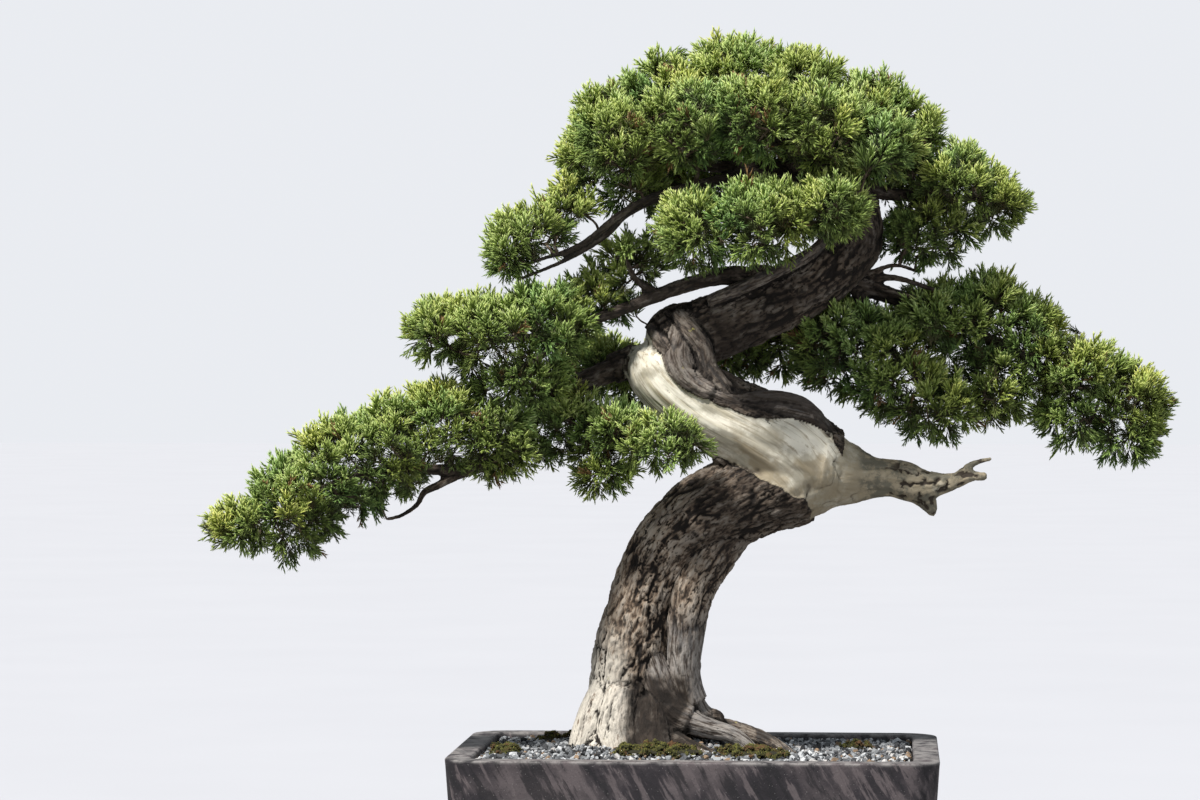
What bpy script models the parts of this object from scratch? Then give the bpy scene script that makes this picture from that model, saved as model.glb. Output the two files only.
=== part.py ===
"""A juniper bonsai growing in a rectangular clay pot.

The wood grew as one piece: surface roots, a leaning trunk, a bleached turn with a dead snag,
a dark upper trunk and the branches. The foliage is in separate pads around the twigs. The
tree stands in gritty soil with patches of moss, and a plastic screen covers each drain hole.

Sizes are in millimetres and become metres where a mesh is made. The origin is the centre of
the pot's footprint, on the surface that the feet stand on. +X is to the right and -Y is the
front of the tree.
"""

import math

import bmesh
import bpy
from mathutils import Matrix, Vector

MM = 0.001
GAP = 0.3  # left between pieces that touch

POT_LENGTH = 416.0
POT_DEPTH = 285.0
POT_HEIGHT = 120.0
FOOT_HEIGHT = 12.0
FOOT_LENGTH = 62.0
FOOT_DEPTH = 48.0
FOOT_INSET = 16.0
WALL = 22.0
FLOOR = 11.0
BATTER = 8.0  # how far each wall leans in, from the rim to the foot
OUTER_CORNER = 31.0
INNER_CORNER = 11.0
RIM_ROUNDING = 1.5
DRAIN_RADIUS = 12.0
DRAIN_SPACING = 190.0
SCREEN_SIZE = 44.0
SCREEN_THICKNESS = 1.6
SCREEN_HOLES = 4
SCREEN_RIB = 3.0

SOIL_BELOW_RIM = 4.0
MOUND_HEIGHT = 15.0
MOUND_RADIUS = 62.0
MOUND_CENTRE = (-40.0, 8.0)
SOIL_CELL = 26.0

WOOD_VOXEL = 3.2
WOOD_TRIANGLES = 3000
WOOD_CLEARANCE = 3.6  # between the wood and what is shaped round it
PAD_VOXEL = 7.5
PAD_TRIANGLES = 240
PAD_CLEARANCE = 5.0

# Limbs of the wood as (x, y, z, radius), each from its thick end to its thin one.
LIMBS = {
    "trunk": (
        (-59, 9, 96, 51),
        (-58, 8, 123, 49),
        (-51, 6, 160, 46),
        (-46, 4, 199, 45),
        (-37, 2, 238, 43),
        (-21, 0, 282, 41),
        (6, 0, 318, 41),
        (54, 0, 343, 41),
        (92, 0, 362, 46),
        (54, -3, 388, 39),
        (4, -5, 416, 35),
        (-34, -3, 444, 30),
        (-38, 2, 462, 22),
    ),
    "snag": (
        (110, 2, 360, 38),
        (138, 1, 355, 25),
        (166, 0, 353, 19),
        (188, -3, 348, 16),
        (204, -6, 347, 12),
        (222, -8, 350, 8),
        (238, -9, 357, 6),
        (250, -9, 367, 4),
    ),
    "snag_spur": (
        (192, -4, 342, 12),
        (198, -5, 331, 8),
        (201, -5, 323, 4),
    ),
    "upper_trunk": (
        (-28, 2, 452, 28),
        (-22, 4, 470, 28),
        (4, 5, 478, 28),
        (41, 6, 494, 27),
        (80, 8, 512, 26),
        (113, 8, 533, 24),
        (136, 6, 561, 23),
        (132, 2, 596, 20),
        (104, 0, 622, 16),
        (62, 0, 650, 11),
        (36, 0, 676, 7),
    ),
    "crown_left_branch": (
        (110, 0, 618, 12),
        (60, -4, 616, 10),
        (0, -8, 618, 8),
        (-50, -6, 632, 6),
        (-80, -4, 648, 4),
    ),
    "crown_right_branch": (
        (122, 2, 612, 12),
        (160, 10, 596, 9),
        (205, 18, 592, 7),
        (245, 24, 594, 4),
    ),
    "crown_front_branch": (
        (120, -4, 600, 12),
        (90, -40, 586, 8),
        (45, -72, 580, 6),
        (12, -78, 572, 4),
    ),
    "crown_back_branch": (
        (120, 4, 606, 12),
        (95, 50, 612, 9),
        (50, 90, 618, 6),
        (12, 98, 620, 4),
    ),
    "strand_branch": (
        (60, -6, 616, 8),
        (-6, -25, 605, 6),
        (-62, -35, 580, 5),
        (-100, -42, 553, 5),
        (-142, -49, 541, 4),
    ),
    "middle_branch": (
        (60, 2, 520, 15),
        (30, -5, 526, 11),
        (-8, -15, 519, 10),
        (-73, -32, 497, 8),
        (-130, -46, 478, 6),
        (-190, -58, 468, 4),
    ),
    "low_branch": (
        (-30, 10, 458, 20),
        (-60, 8, 452, 15),
        (-94, -2, 438, 12),
        (-120, -12, 427, 11),
        (-142, -22, 410, 10),
        (-152, -32, 386, 9),
        (-170, -42, 368, 8),
        (-200, -54, 362, 7),
        (-240, -66, 362, 6),
        (-290, -78, 350, 5),
        (-345, -90, 328, 4),
    ),
    "bare_twig": (
        (-196, -53, 362, 6),
        (-221, -58, 350, 5),
        (-238, -64, 336, 4),
        (-262, -72, 314, 4),
    ),
    "inner_branch": (
        (-118, -12, 427, 8),
        (-95, -32, 400, 6),
        (-60, -52, 392, 5),
        (-15, -70, 390, 4),
    ),
    "left_back_branch": (
        (-40, 14, 455, 10),
        (-60, 44, 448, 7),
        (-88, 58, 448, 4),
    ),
    "right_branch": (
        (112, 10, 532, 14),
        (136, 20, 520, 12),
        (164, 30, 512, 11),
        (208, 38, 494, 9),
        (262, 46, 466, 7),
        (318, 54, 438, 5),
        (368, 58, 414, 4),
    ),
    "right_inner_branch": (
        (136, 20, 518, 9),
        (150, 26, 486, 7),
        (180, 27, 450, 5),
        (212, 26, 424, 4),
    ),
    "back_branch": (
        (84, 14, 508, 12),
        (82, 60, 492, 9),
        (74, 96, 478, 7),
        (34, 106, 466, 4),
    ),
    "right_root": (
        (-30, 2, 132, 17),
        (6, 0, 123, 13),
        (40, -6, 117, 10),
        (74, -14, 108, 8),
    ),
    "front_root": (
        (-40, -14, 130, 18),
        (-26, -42, 121, 12),
        (-12, -70, 106, 8),
    ),
    "right_front_root": (
        (-28, -12, 132, 16),
        (8, -34, 120, 11),
        (40, -54, 106, 8),
    ),
    "left_root": (
        (-78, 4, 130, 18),
        (-96, 0, 118, 12),
        (-113, -4, 103, 8),
    ),
    "left_front_root": (
        (-74, -14, 130, 17),
        (-87, -36, 118, 11),
        (-95, -55, 103, 8),
    ),
    "back_root": (
        (-46, 34, 130, 18),
        (-30, 64, 118, 12),
        (-14, 90, 103, 8),
    ),
    "left_back_root": (
        (-82, 30, 130, 16),
        (-104, 54, 117, 11),
        (-122, 76, 102, 8),
    ),
}

# Lobes of each foliage pad as (x, y, z, half length, half depth, half height).
PADS = {
    "crown_top": (
        (30, 0, 700, 42, 52, 34),
        (52, -72, 660, 44, 42, 36),
        (58, 76, 656, 44, 44, 36),
    ),
    "crown_top_left": (
        (-26, 0, 686, 39, 50, 33),
        (-8, -68, 655, 42, 42, 34),
        (0, 72, 655, 44, 44, 36),
    ),
    "crown_top_right": (
        (88, 0, 688, 42, 52, 34),
        (110, -66, 650, 42, 42, 32),
        (112, 70, 648, 42, 42, 34),
    ),
    "crown_left": (
        (-88, -4, 626, 35, 48, 30),
        (-76, 0, 661, 34, 48, 33),
        (-62, -55, 642, 38, 40, 32),
        (-55, 60, 645, 42, 42, 34),
        (-60, -5, 606, 30, 40, 22),
    ),
    "crown_right": (
        (145, 5, 668, 42, 50, 34),
        (188, 12, 642, 30, 45, 34),
        (156, -48, 636, 36, 40, 27),
        (160, 58, 630, 38, 40, 32),
    ),
    "crown_far_right": (
        (222, 20, 607, 36, 62, 31),
        (255, 25, 589, 28, 50, 24),
        (196, 20, 566, 42, 50, 25),
    ),
    "crown_front": (
        (4, -75, 564, 36, 48, 33),
        (57, -85, 571, 41, 52, 34),
        (114, -75, 583, 34, 48, 25),
    ),
    "crown_back": (
        (-10, 102, 602, 42, 40, 30),
        (48, 108, 606, 44, 40, 32),
        (106, 102, 598, 42, 40, 30),
    ),
    "upper_left": (
        (-160, -50, 553, 22, 38, 29),
        (-129, -42, 568, 21, 34, 22),
        (-107, -35, 592, 19, 34, 19),
    ),
    "left_middle": (
        (-217, -65, 482, 29, 50, 26),
        (-173, -62, 476, 38, 60, 36),
        (-126, -52, 485, 38, 60, 33),
        (-84, -10, 511, 33, 34, 25),
        (-53, -10, 542, 28, 30, 22),
        (-150, -55, 438, 47, 55, 27),
    ),
    "left_low": (
        (-380, -100, 314, 36, 36, 18),
        (-338, -88, 330, 40, 50, 43),
        (-300, -80, 359, 42, 56, 46),
        (-256, -70, 380, 40, 58, 43),
        (-216, -62, 399, 39, 58, 37),
        (-173, -56, 392, 38, 52, 40),
    ),
    "left_inner": (
        (-120, -28, 400, 33, 42, 33),
        (-71, -45, 393, 36, 38, 22),
        (-26, -70, 384, 38, 32, 22),
        (-80, -42, 361, 31, 30, 19),
    ),
    "left_back": (
        (-91, 55, 450, 37, 42, 25),
        (-55, 75, 437, 35, 40, 23),
    ),
    "right_inner": (
        (122, 35, 471, 42, 50, 46),
        (166, 25, 451, 40, 54, 47),
        (202, 25, 418, 43, 50, 32),
    ),
    "right_middle": (
        (205, 38, 486, 37, 54, 35),
        (249, 45, 492, 38, 54, 37),
        (290, 50, 468, 31, 50, 40),
        (259, 45, 436, 38, 50, 34),
    ),
    "right_tip": (
        (327, 55, 442, 40, 50, 33),
        (375, 58, 416, 33, 44, 36),
        (373, 58, 389, 30, 36, 23),
        (323, 52, 407, 33, 42, 27),
    ),
    "back_low": (
        (77, 108, 471, 49, 36, 30),
        (28, 104, 462, 36, 32, 23),
    ),
}

# Patches of moss as (x, y, half length, half depth).
MOSS_RISE = 6.0
MOSS = {
    "front": (-29, -73, 43, 19),
    "front_right": (49, -56, 33, 21),
    "right": (136, 42, 17, 12),
    "left": (-164, -34, 13, 22),
    "back": (30, 78, 34, 19),
    "back_left": (-128, 62, 22, 15),
}

FINISHES = {
    "fired_clay": ((0.20, 0.165, 0.155), 0.72),
    "grit_soil": ((0.30, 0.29, 0.27), 0.95),
    "juniper_wood": ((0.26, 0.20, 0.15), 0.85),
    "juniper_foliage": ((0.10, 0.19, 0.04), 0.70),
    "moss": ((0.14, 0.15, 0.03), 0.95),
    "screen_plastic": ((0.02, 0.02, 0.02), 0.55),
}


def clear_scene():
    for obj in list(bpy.data.objects):
        bpy.data.objects.remove(obj, do_unlink=True)


def new_collection(name):
    collection = bpy.data.collections.new(name)
    bpy.context.scene.collection.children.link(collection)
    return collection


def new_material(name, colour, roughness):
    material = bpy.data.materials.new(name)
    material.use_nodes = True
    shader = material.node_tree.nodes["Principled BSDF"]
    shader.inputs["Base Color"].default_value = (*colour, 1.0)
    shader.inputs["Roughness"].default_value = roughness
    shader.inputs["Metallic"].default_value = 0.0
    return material


def mesh_object(name, bm, collection):
    """Turns a bmesh in metres into an object, and frees the bmesh."""
    bmesh.ops.recalc_face_normals(bm, faces=bm.faces)
    mesh = bpy.data.meshes.new(name)
    bm.to_mesh(mesh)
    bm.free()
    obj = bpy.data.objects.new(name, mesh)
    collection.objects.link(obj)
    return obj


def finished(obj, finishes, finish, smooth_angle=40):
    obj.data.materials.append(finishes[finish])
    obj.data.shade_smooth()
    obj.data.set_sharp_from_angle(angle=math.radians(smooth_angle))
    return obj


def as_cutter(obj):
    obj.hide_render = True
    obj.display_type = "WIRE"
    return obj


def boolean(obj, other, operation="DIFFERENCE"):
    modifier = obj.modifiers.new(f"{operation.lower()}_{other.name}", "BOOLEAN")
    modifier.operation = operation
    modifier.object = other
    modifier.solver = "EXACT"


def battered_block(length, depth, bottom, top, corner, segments):
    """A block with round upright corners, whose walls lean in by BATTER over the pot's height."""
    bm = bmesh.new()
    bmesh.ops.create_cube(bm, size=1.0)
    for vert in bm.verts:
        z = top if vert.co.z > 0 else bottom
        lean = BATTER * (POT_HEIGHT - z) / POT_HEIGHT
        vert.co.x = math.copysign(length / 2 - lean, vert.co.x) * MM
        vert.co.y = math.copysign(depth / 2 - lean, vert.co.y) * MM
        vert.co.z = z * MM
    upright = [e for e in bm.edges if abs(e.verts[0].co.z - e.verts[1].co.z) > MM]
    bmesh.ops.bevel(
        bm, geom=upright, offset=corner * MM, segments=segments, profile=0.5, affect="EDGES"
    )
    return bm


def box(name, centre, size, collection):
    bm = bmesh.new()
    bmesh.ops.create_cube(bm, size=1.0, matrix=Matrix.Diagonal((*(s * MM for s in size), 1.0)))
    obj = mesh_object(name, bm, collection)
    obj.location = Vector(centre) * MM
    return obj


def build_pot(parts, cutters):
    outer = battered_block(POT_LENGTH, POT_DEPTH, FOOT_HEIGHT, POT_HEIGHT, OUTER_CORNER, 6)
    top_edges = [e for e in outer.edges if all(v.co.z > (POT_HEIGHT - 1) * MM for v in e.verts)]
    bmesh.ops.bevel(
        outer, geom=top_edges, offset=RIM_ROUNDING * MM, segments=1, profile=0.5, affect="EDGES"
    )
    pot = mesh_object("pot", outer, parts)
    above_rim = POT_HEIGHT + 20
    inner = battered_block(
        POT_LENGTH - 2 * WALL, POT_DEPTH - 2 * WALL, FOOT_HEIGHT + FLOOR, above_rim, INNER_CORNER, 3
    )
    boolean(pot, as_cutter(mesh_object("pot_hollow", inner, cutters)))
    base_length = POT_LENGTH - 2 * (BATTER + FOOT_INSET)
    base_depth = POT_DEPTH - 2 * (BATTER + FOOT_INSET)
    for side_x, side_y in ((-1, -1), (1, -1), (1, 1), (-1, 1)):
        centre = (
            side_x * (base_length - FOOT_LENGTH) / 2,
            side_y * (base_depth - FOOT_DEPTH) / 2,
            (FOOT_HEIGHT + FLOOR / 2) / 2,
        )
        size = (FOOT_LENGTH, FOOT_DEPTH, FOOT_HEIGHT + FLOOR / 2)
        foot = box(f"foot_{side_x}_{side_y}", centre, size, cutters)
        bevel = foot.modifiers.new("corners", "BEVEL")
        bevel.width = 5 * MM
        bevel.segments = 1
        boolean(pot, as_cutter(foot), "UNION")
    for side in (-1, 1):
        bm = bmesh.new()
        bmesh.ops.create_cone(
            bm, cap_ends=True, segments=16, radius1=DRAIN_RADIUS * MM,
            radius2=DRAIN_RADIUS * MM, depth=40 * MM,
        )
        hole = as_cutter(mesh_object(f"drain_{side}", bm, cutters))
        hole.location = (side * DRAIN_SPACING / 2 * MM, 0, (FOOT_HEIGHT + FLOOR / 2) * MM)
        boolean(pot, hole)
    return pot


def build_screens(parts):
    """A square plastic mesh over each drain hole, lying on the pot's floor."""
    base = FOOT_HEIGHT + FLOOR + GAP
    pitch = (SCREEN_SIZE - SCREEN_RIB) / SCREEN_HOLES
    lines = [-SCREEN_SIZE / 2]
    for i in range(SCREEN_HOLES):
        start = -SCREEN_SIZE / 2 + i * pitch
        lines += [start + SCREEN_RIB, start + pitch]
    lines.append(SCREEN_SIZE / 2)
    screens = []
    for side, name in ((-1, "left"), (1, "right")):
        bm = bmesh.new()
        grid = [[bm.verts.new((x * MM, y * MM, 0)) for x in lines] for y in lines]
        for j in range(len(lines) - 1):
            for i in range(len(lines) - 1):
                if i % 2 == 0 or j % 2 == 0:
                    corners = (grid[j][i], grid[j][i + 1], grid[j + 1][i + 1], grid[j + 1][i])
                    bm.faces.new(corners)
        screen = mesh_object(f"drain_screen_{name}", bm, parts)
        screen.location = (side * DRAIN_SPACING / 2 * MM, 0, base * MM)
        solid = screen.modifiers.new("thickness", "SOLIDIFY")
        solid.thickness = SCREEN_THICKNESS * MM
        solid.offset = 1.0
        screens.append(screen)
    return screens


def soil_height(x, y):
    """The height of the soil's surface: level near the walls, with a low mound at the trunk."""
    away = math.hypot(x - MOUND_CENTRE[0], y - MOUND_CENTRE[1]) / MOUND_RADIUS
    return POT_HEIGHT - SOIL_BELOW_RIM + MOUND_HEIGHT * math.exp(-away * away / 2)


def build_soil(parts, cutters, wood_room):
    length = POT_LENGTH - 2 * WALL
    depth = POT_DEPTH - 2 * WALL
    fill = battered_block(
        length - 2 * GAP, depth - 2 * GAP, FOOT_HEIGHT + FLOOR + GAP,
        POT_HEIGHT + MOUND_HEIGHT, INNER_CORNER, 3,
    )
    soil = mesh_object("soil", fill, parts)
    air = bmesh.new()
    columns, rows = round(length / SOIL_CELL), round(depth / SOIL_CELL)
    reach = 1.1
    bmesh.ops.create_grid(air, x_segments=columns, y_segments=rows, size=0.5)
    for vert in air.verts:
        x, y = vert.co.x * length * reach, vert.co.y * depth * reach
        vert.co = Vector((x, y, soil_height(x, y))) * MM
    lifted = bmesh.ops.extrude_face_region(air, geom=air.faces[:])
    for item in lifted["geom"]:
        if isinstance(item, bmesh.types.BMVert):
            item.co.z = (POT_HEIGHT + 3 * MOUND_HEIGHT) * MM
    boolean(soil, as_cutter(mesh_object("air_above_soil", air, cutters)))
    for side in (-1, 1):
        room = SCREEN_SIZE + 2 * GAP
        height = 2 * (SCREEN_THICKNESS + 2 * GAP)
        centre = (side * DRAIN_SPACING / 2, 0, FOOT_HEIGHT + FLOOR)
        boolean(soil, as_cutter(box(f"screen_room_{side}", centre, (room, room, height), cutters)))
    boolean(soil, wood_room)
    return soil


def build_moss(parts, cutters, soil, wood_room):
    """Low cushions bedded in the soil."""
    patches = []
    for name, (x, y, half_length, half_depth) in MOSS.items():
        made = []
        for grow in (0.0, GAP):
            bm = bmesh.new()
            bmesh.ops.create_icosphere(bm, subdivisions=2, radius=1.0)
            size = (half_length + grow, half_depth + grow, MOSS_RISE + grow)
            bmesh.ops.scale(bm, vec=Vector(size) * MM, verts=bm.verts)
            label = f"moss_{name}" if grow == 0.0 else f"moss_room_{name}"
            patch = mesh_object(label, bm, parts if grow == 0.0 else cutters)
            patch.location = Vector((x, y, soil_height(x, y))) * MM
            made.append(patch)
        patch, room = made
        boolean(soil, as_cutter(room))
        boolean(patch, wood_room)
        patches.append(patch)
    return patches


def limb_mesh(points, grow):
    """A round, tapering limb through the points, as a closed bmesh."""
    curve = bpy.data.curves.new("limb", "CURVE")
    curve.dimensions = "3D"
    curve.resolution_u = 4
    curve.bevel_depth = MM
    curve.bevel_resolution = 3
    curve.use_fill_caps = True
    spline = curve.splines.new("BEZIER")
    spline.bezier_points.add(len(points) - 1)
    for knot, (x, y, z, radius) in zip(spline.bezier_points, points):
        knot.co = Vector((x, y, z)) * MM
        knot.radius = radius + grow
        knot.handle_left_type = knot.handle_right_type = "AUTO"
    guide = bpy.data.objects.new("limb", curve)
    bpy.context.scene.collection.objects.link(guide)
    graph = bpy.context.evaluated_depsgraph_get()
    mesh = bpy.data.meshes.new_from_object(guide.evaluated_get(graph))
    bm = bmesh.new()
    bm.from_mesh(mesh)
    bmesh.ops.remove_doubles(bm, verts=bm.verts, dist=0.01 * MM)
    bpy.data.objects.remove(guide, do_unlink=True)
    bpy.data.curves.remove(curve)
    bpy.data.meshes.remove(mesh)
    return bm


def knuckle_mesh(point, grow):
    """A ball inside the limb's thick end, so that the limb grows out of its parent."""
    bm = bmesh.new()
    x, y, z, radius = point
    bmesh.ops.create_icosphere(bm, subdivisions=2, radius=(radius + grow) * MM)
    bmesh.ops.translate(bm, vec=Vector((x, y, z)) * MM, verts=bm.verts)
    return bm


def grown_together(name, shapes, voxel, triangles, collection):
    """One skin round all the shapes, with about the given number of triangles."""
    joined = bmesh.new()
    for shape in shapes:
        mesh = bpy.data.meshes.new("shape")
        shape.to_mesh(mesh)
        shape.free()
        joined.from_mesh(mesh)
        bpy.data.meshes.remove(mesh)
    obj = mesh_object(name, joined, collection)
    skin = obj.modifiers.new("skin", "REMESH")
    skin.mode = "VOXEL"
    skin.voxel_size = voxel * MM
    graph = bpy.context.evaluated_depsgraph_get()
    quads = len(obj.evaluated_get(graph).data.polygons)
    thin = obj.modifiers.new("thin", "DECIMATE")
    thin.decimate_type = "COLLAPSE"
    thin.ratio = min(1.0, triangles / (2 * quads))
    return obj


def build_wood(name, collection, grow=0.0):
    shapes = []
    for points in LIMBS.values():
        shapes.append(limb_mesh(points, grow))
        shapes.append(knuckle_mesh(points[0], grow))
        shapes.append(knuckle_mesh(points[-1], grow))
    return grown_together(name, shapes, WOOD_VOXEL, WOOD_TRIANGLES, collection)


def build_pad(name, lobes, collection, grow=0.0):
    shapes = []
    for x, y, z, *halves in lobes:
        bm = bmesh.new()
        bmesh.ops.create_icosphere(bm, subdivisions=3, radius=1.0)
        bmesh.ops.scale(bm, vec=Vector([half + grow for half in halves]) * MM, verts=bm.verts)
        bmesh.ops.translate(bm, vec=Vector((x, y, z)) * MM, verts=bm.verts)
        shapes.append(bm)
    return grown_together(name, shapes, PAD_VOXEL, PAD_TRIANGLES, collection)


def near(first, second):
    """Whether two pads' lobes come close enough to need a cut."""
    for a in first:
        for b in second:
            if all(abs(a[i] - b[i]) < a[i + 3] + b[i + 3] + 2 * PAD_CLEARANCE for i in range(3)):
                return True
    return False


def build_foliage(parts, cutters, wood_room):
    """Each pad gives way to the wood inside it and to the pads before it."""
    pads = []
    rooms = {}
    for name, lobes in PADS.items():
        pad = build_pad(f"foliage_{name}", lobes, parts)
        for other, room in rooms.items():
            if near(lobes, PADS[other]):
                boolean(pad, room)
        boolean(pad, wood_room)
        rooms[name] = as_cutter(build_pad(f"pad_room_{name}", lobes, cutters, PAD_CLEARANCE))
        pads.append(pad)
    return pads


def main():
    clear_scene()
    parts = new_collection("bonsai_tree_in_pot")
    cutters = new_collection("cutters")
    finishes = {name: new_material(name, *values) for name, values in FINISHES.items()}
    finished(build_pot(parts, cutters), finishes, "fired_clay")
    for screen in build_screens(parts):
        finished(screen, finishes, "screen_plastic")
    finished(build_wood("tree_wood", parts), finishes, "juniper_wood")
    wood_room = as_cutter(build_wood("wood_room", cutters, WOOD_CLEARANCE))
    soil = finished(build_soil(parts, cutters, wood_room), finishes, "grit_soil")
    for patch in build_moss(parts, cutters, soil, wood_room):
        finished(patch, finishes, "moss", smooth_angle=60)
    for pad in build_foliage(parts, cutters, wood_room):
        finished(pad, finishes, "juniper_foliage", smooth_angle=60)


main()
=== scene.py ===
"""Looks of a juniper bonsai in a rectangular clay pot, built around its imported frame.

Each sub-assembly is a class that holds its sizes, builds its meshes and dresses them: the pot
and its drain screens, the soil bed with its grit, the moss, the wood, the foliage and the
studio. Lengths are in millimetres and become metres where a mesh is made.
"""

import logging
import math
from collections.abc import Sequence
from dataclasses import dataclass
from enum import Enum
from typing import ClassVar

import bmesh
import bpy
import numpy as np
from bpy.types import Material, Node, Object
from bpy.types import NodeSocket as Socket
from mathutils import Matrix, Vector
from mathutils.bvhtree import BVHTree


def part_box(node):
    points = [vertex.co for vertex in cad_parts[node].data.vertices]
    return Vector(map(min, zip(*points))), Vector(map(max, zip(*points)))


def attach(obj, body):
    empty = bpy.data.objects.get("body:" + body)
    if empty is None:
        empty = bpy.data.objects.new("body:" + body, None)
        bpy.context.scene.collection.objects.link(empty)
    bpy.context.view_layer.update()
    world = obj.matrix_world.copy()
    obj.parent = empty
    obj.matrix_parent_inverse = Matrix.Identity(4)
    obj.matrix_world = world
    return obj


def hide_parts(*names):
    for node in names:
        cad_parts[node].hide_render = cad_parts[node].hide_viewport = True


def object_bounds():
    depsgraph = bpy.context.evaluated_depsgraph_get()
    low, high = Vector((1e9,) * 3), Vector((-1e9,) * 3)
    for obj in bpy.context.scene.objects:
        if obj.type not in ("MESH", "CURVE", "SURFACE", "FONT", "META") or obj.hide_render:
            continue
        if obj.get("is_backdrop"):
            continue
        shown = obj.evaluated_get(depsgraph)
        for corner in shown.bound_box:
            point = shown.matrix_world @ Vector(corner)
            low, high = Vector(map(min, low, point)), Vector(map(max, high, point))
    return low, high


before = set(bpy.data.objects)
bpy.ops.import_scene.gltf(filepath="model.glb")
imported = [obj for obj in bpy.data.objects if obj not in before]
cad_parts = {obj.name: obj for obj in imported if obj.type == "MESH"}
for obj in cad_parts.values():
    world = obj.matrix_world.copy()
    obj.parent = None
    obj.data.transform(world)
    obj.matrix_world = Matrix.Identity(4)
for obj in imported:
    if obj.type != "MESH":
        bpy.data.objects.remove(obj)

MM = 0.001
LOG = logging.getLogger("bonsai")
Rgb = tuple[float, float, float]
Knot = tuple[float, float, float, float]
Array = np.ndarray
Pair = tuple[Array, Array]
Cord = tuple[Array, Array, Array]
Place = tuple[float, float, float]
SPIN = 6.28  # radians, a hair under a full turn
WHITE: Rgb = (1.0, 1.0, 1.0)


class Slot(Enum):
    """The record's material slots."""

    CLAY = "fired_clay"
    SOIL = "grit_soil"
    WOOD = "juniper_wood"
    FOLIAGE = "juniper_foliage"
    MOSS = "moss"
    PLASTIC = "screen_plastic"


# ---------------------------------------------------------------- numbers and meshes


def unit(vectors: Array) -> Array:
    """Scales each row to length one."""
    return vectors / np.maximum(np.linalg.norm(vectors, axis=-1, keepdims=True), 1e-9)


def smoothstep(low: float, high: float, values: Array) -> Array:
    """Rises smoothly from 0 at low to 1 at high."""
    share = np.clip((values - low) / (high - low), 0.0, 1.0)
    return share * share * (3.0 - 2.0 * share)


class Noise:
    """Seeded gradient noise in three dimensions, from about -1 to 1."""

    def __init__(self, seed: int) -> None:
        """Shuffles the lattice.

        Args:
            seed: Gives the same noise each time for the same number.
        """
        rng = np.random.default_rng(seed)
        self.order = np.tile(rng.permutation(256), 2)
        self.slopes = unit(rng.normal(size=(256, 3)))

    def at(self, points: Array) -> Array:
        """Reads the noise.

        Args:
            points: One row of three coordinates for each value.

        Returns:
            One value for each row.
        """
        cell = np.floor(points).astype(np.int64)
        inside = points - cell
        fade = inside**3 * (inside * (inside * 6.0 - 15.0) + 10.0)
        total = np.zeros(len(points))
        for corner in np.ndindex(2, 2, 2):
            x, y, z = ((cell + corner) & 255).T
            slope = self.slopes[self.order[self.order[self.order[x] + y] + z]]
            weight = np.prod(np.where(corner, fade, 1.0 - fade), axis=1)
            total += weight * np.einsum("ij,ij->i", slope, inside - corner)
        return total * 1.7

    def layered(self, points: Array, layers: int) -> Array:
        """Adds layers of noise, each twice as fine and half as strong as the one before."""
        return sum(self.at(points * 2**i + 17.3 * i) / 2**i for i in range(layers))


def make_object(
    name: str, points: Array, faces: Array, uv: Array | None = None
) -> Object:
    """Makes a smooth-shaded mesh object.

    Args:
        name: The piece's name.
        points: Its points in millimetres, one row each.
        faces: Rows of three or four point numbers.
        uv: One pair of coordinates for each point, kept as the map that colours are read by.

    Returns:
        The new object, in the scene.
    """
    mesh = bpy.data.meshes.new(name)
    sides = faces.shape[1]
    mesh.vertices.add(len(points))
    mesh.vertices.foreach_set("co", (points * MM).astype(np.float32).ravel())
    mesh.loops.add(faces.size)
    mesh.loops.foreach_set("vertex_index", faces.astype(np.int32).ravel())
    mesh.polygons.add(len(faces))
    mesh.polygons.foreach_set("loop_start", np.arange(0, faces.size, sides, dtype=np.int32))
    mesh.update(calc_edges=True)
    mesh.polygons.foreach_set("use_smooth", np.ones(len(faces), bool))
    if uv is not None:
        layer = mesh.uv_layers.new(name="OFBake")
        layer.data.foreach_set("uv", uv[faces.ravel()].astype(np.float32).ravel())
    obj = bpy.data.objects.new(name, mesh)
    bpy.context.scene.collection.objects.link(obj)
    return obj


def from_bmesh(name: str, bm: bmesh.types.BMesh) -> Object:
    """Makes an object of a bmesh, which is freed.

    Args:
        name: The object's name.
        bm: The mesh.

    Returns:
        The new object, in the scene.
    """
    mesh = bpy.data.meshes.new(name)
    bm.to_mesh(mesh)
    bm.free()
    obj = bpy.data.objects.new(name, mesh)
    bpy.context.scene.collection.objects.link(obj)
    return obj


def ring_quads(layers: int, around: int) -> Array:
    """Joins rings of points, numbered ring after ring, into a wall.

    Args:
        layers: How many rings there are.
        around: How many points each has.

    Returns:
        The wall's four-sided faces, one row each.
    """
    near = np.arange((layers - 1) * around).reshape(layers - 1, around)
    beside = np.roll(near, -1, axis=1)
    return np.stack((near, beside, beside + around, near + around), axis=2).reshape(-1, 4)


def fan(ring: Array, centre: int) -> Array:
    """Triangles from each two neighbours of a ring to the point numbered centre."""
    return np.column_stack((ring, np.roll(ring, -1), np.full(len(ring), centre)))


def mesh_arrays(mesh: bpy.types.Mesh) -> Pair:
    """Reads a mesh.

    Args:
        mesh: The mesh.

    Returns:
        Its points in millimetres and its triangles.
    """
    points = np.empty(len(mesh.vertices) * 3, np.float32)
    mesh.vertices.foreach_get("co", points)
    mesh.calc_loop_triangles()
    triangles = np.empty(len(mesh.loop_triangles) * 3, np.int32)
    mesh.loop_triangles.foreach_get("vertices", triangles)
    return points.reshape(-1, 3).astype(float) / MM, triangles.reshape(-1, 3)


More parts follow.
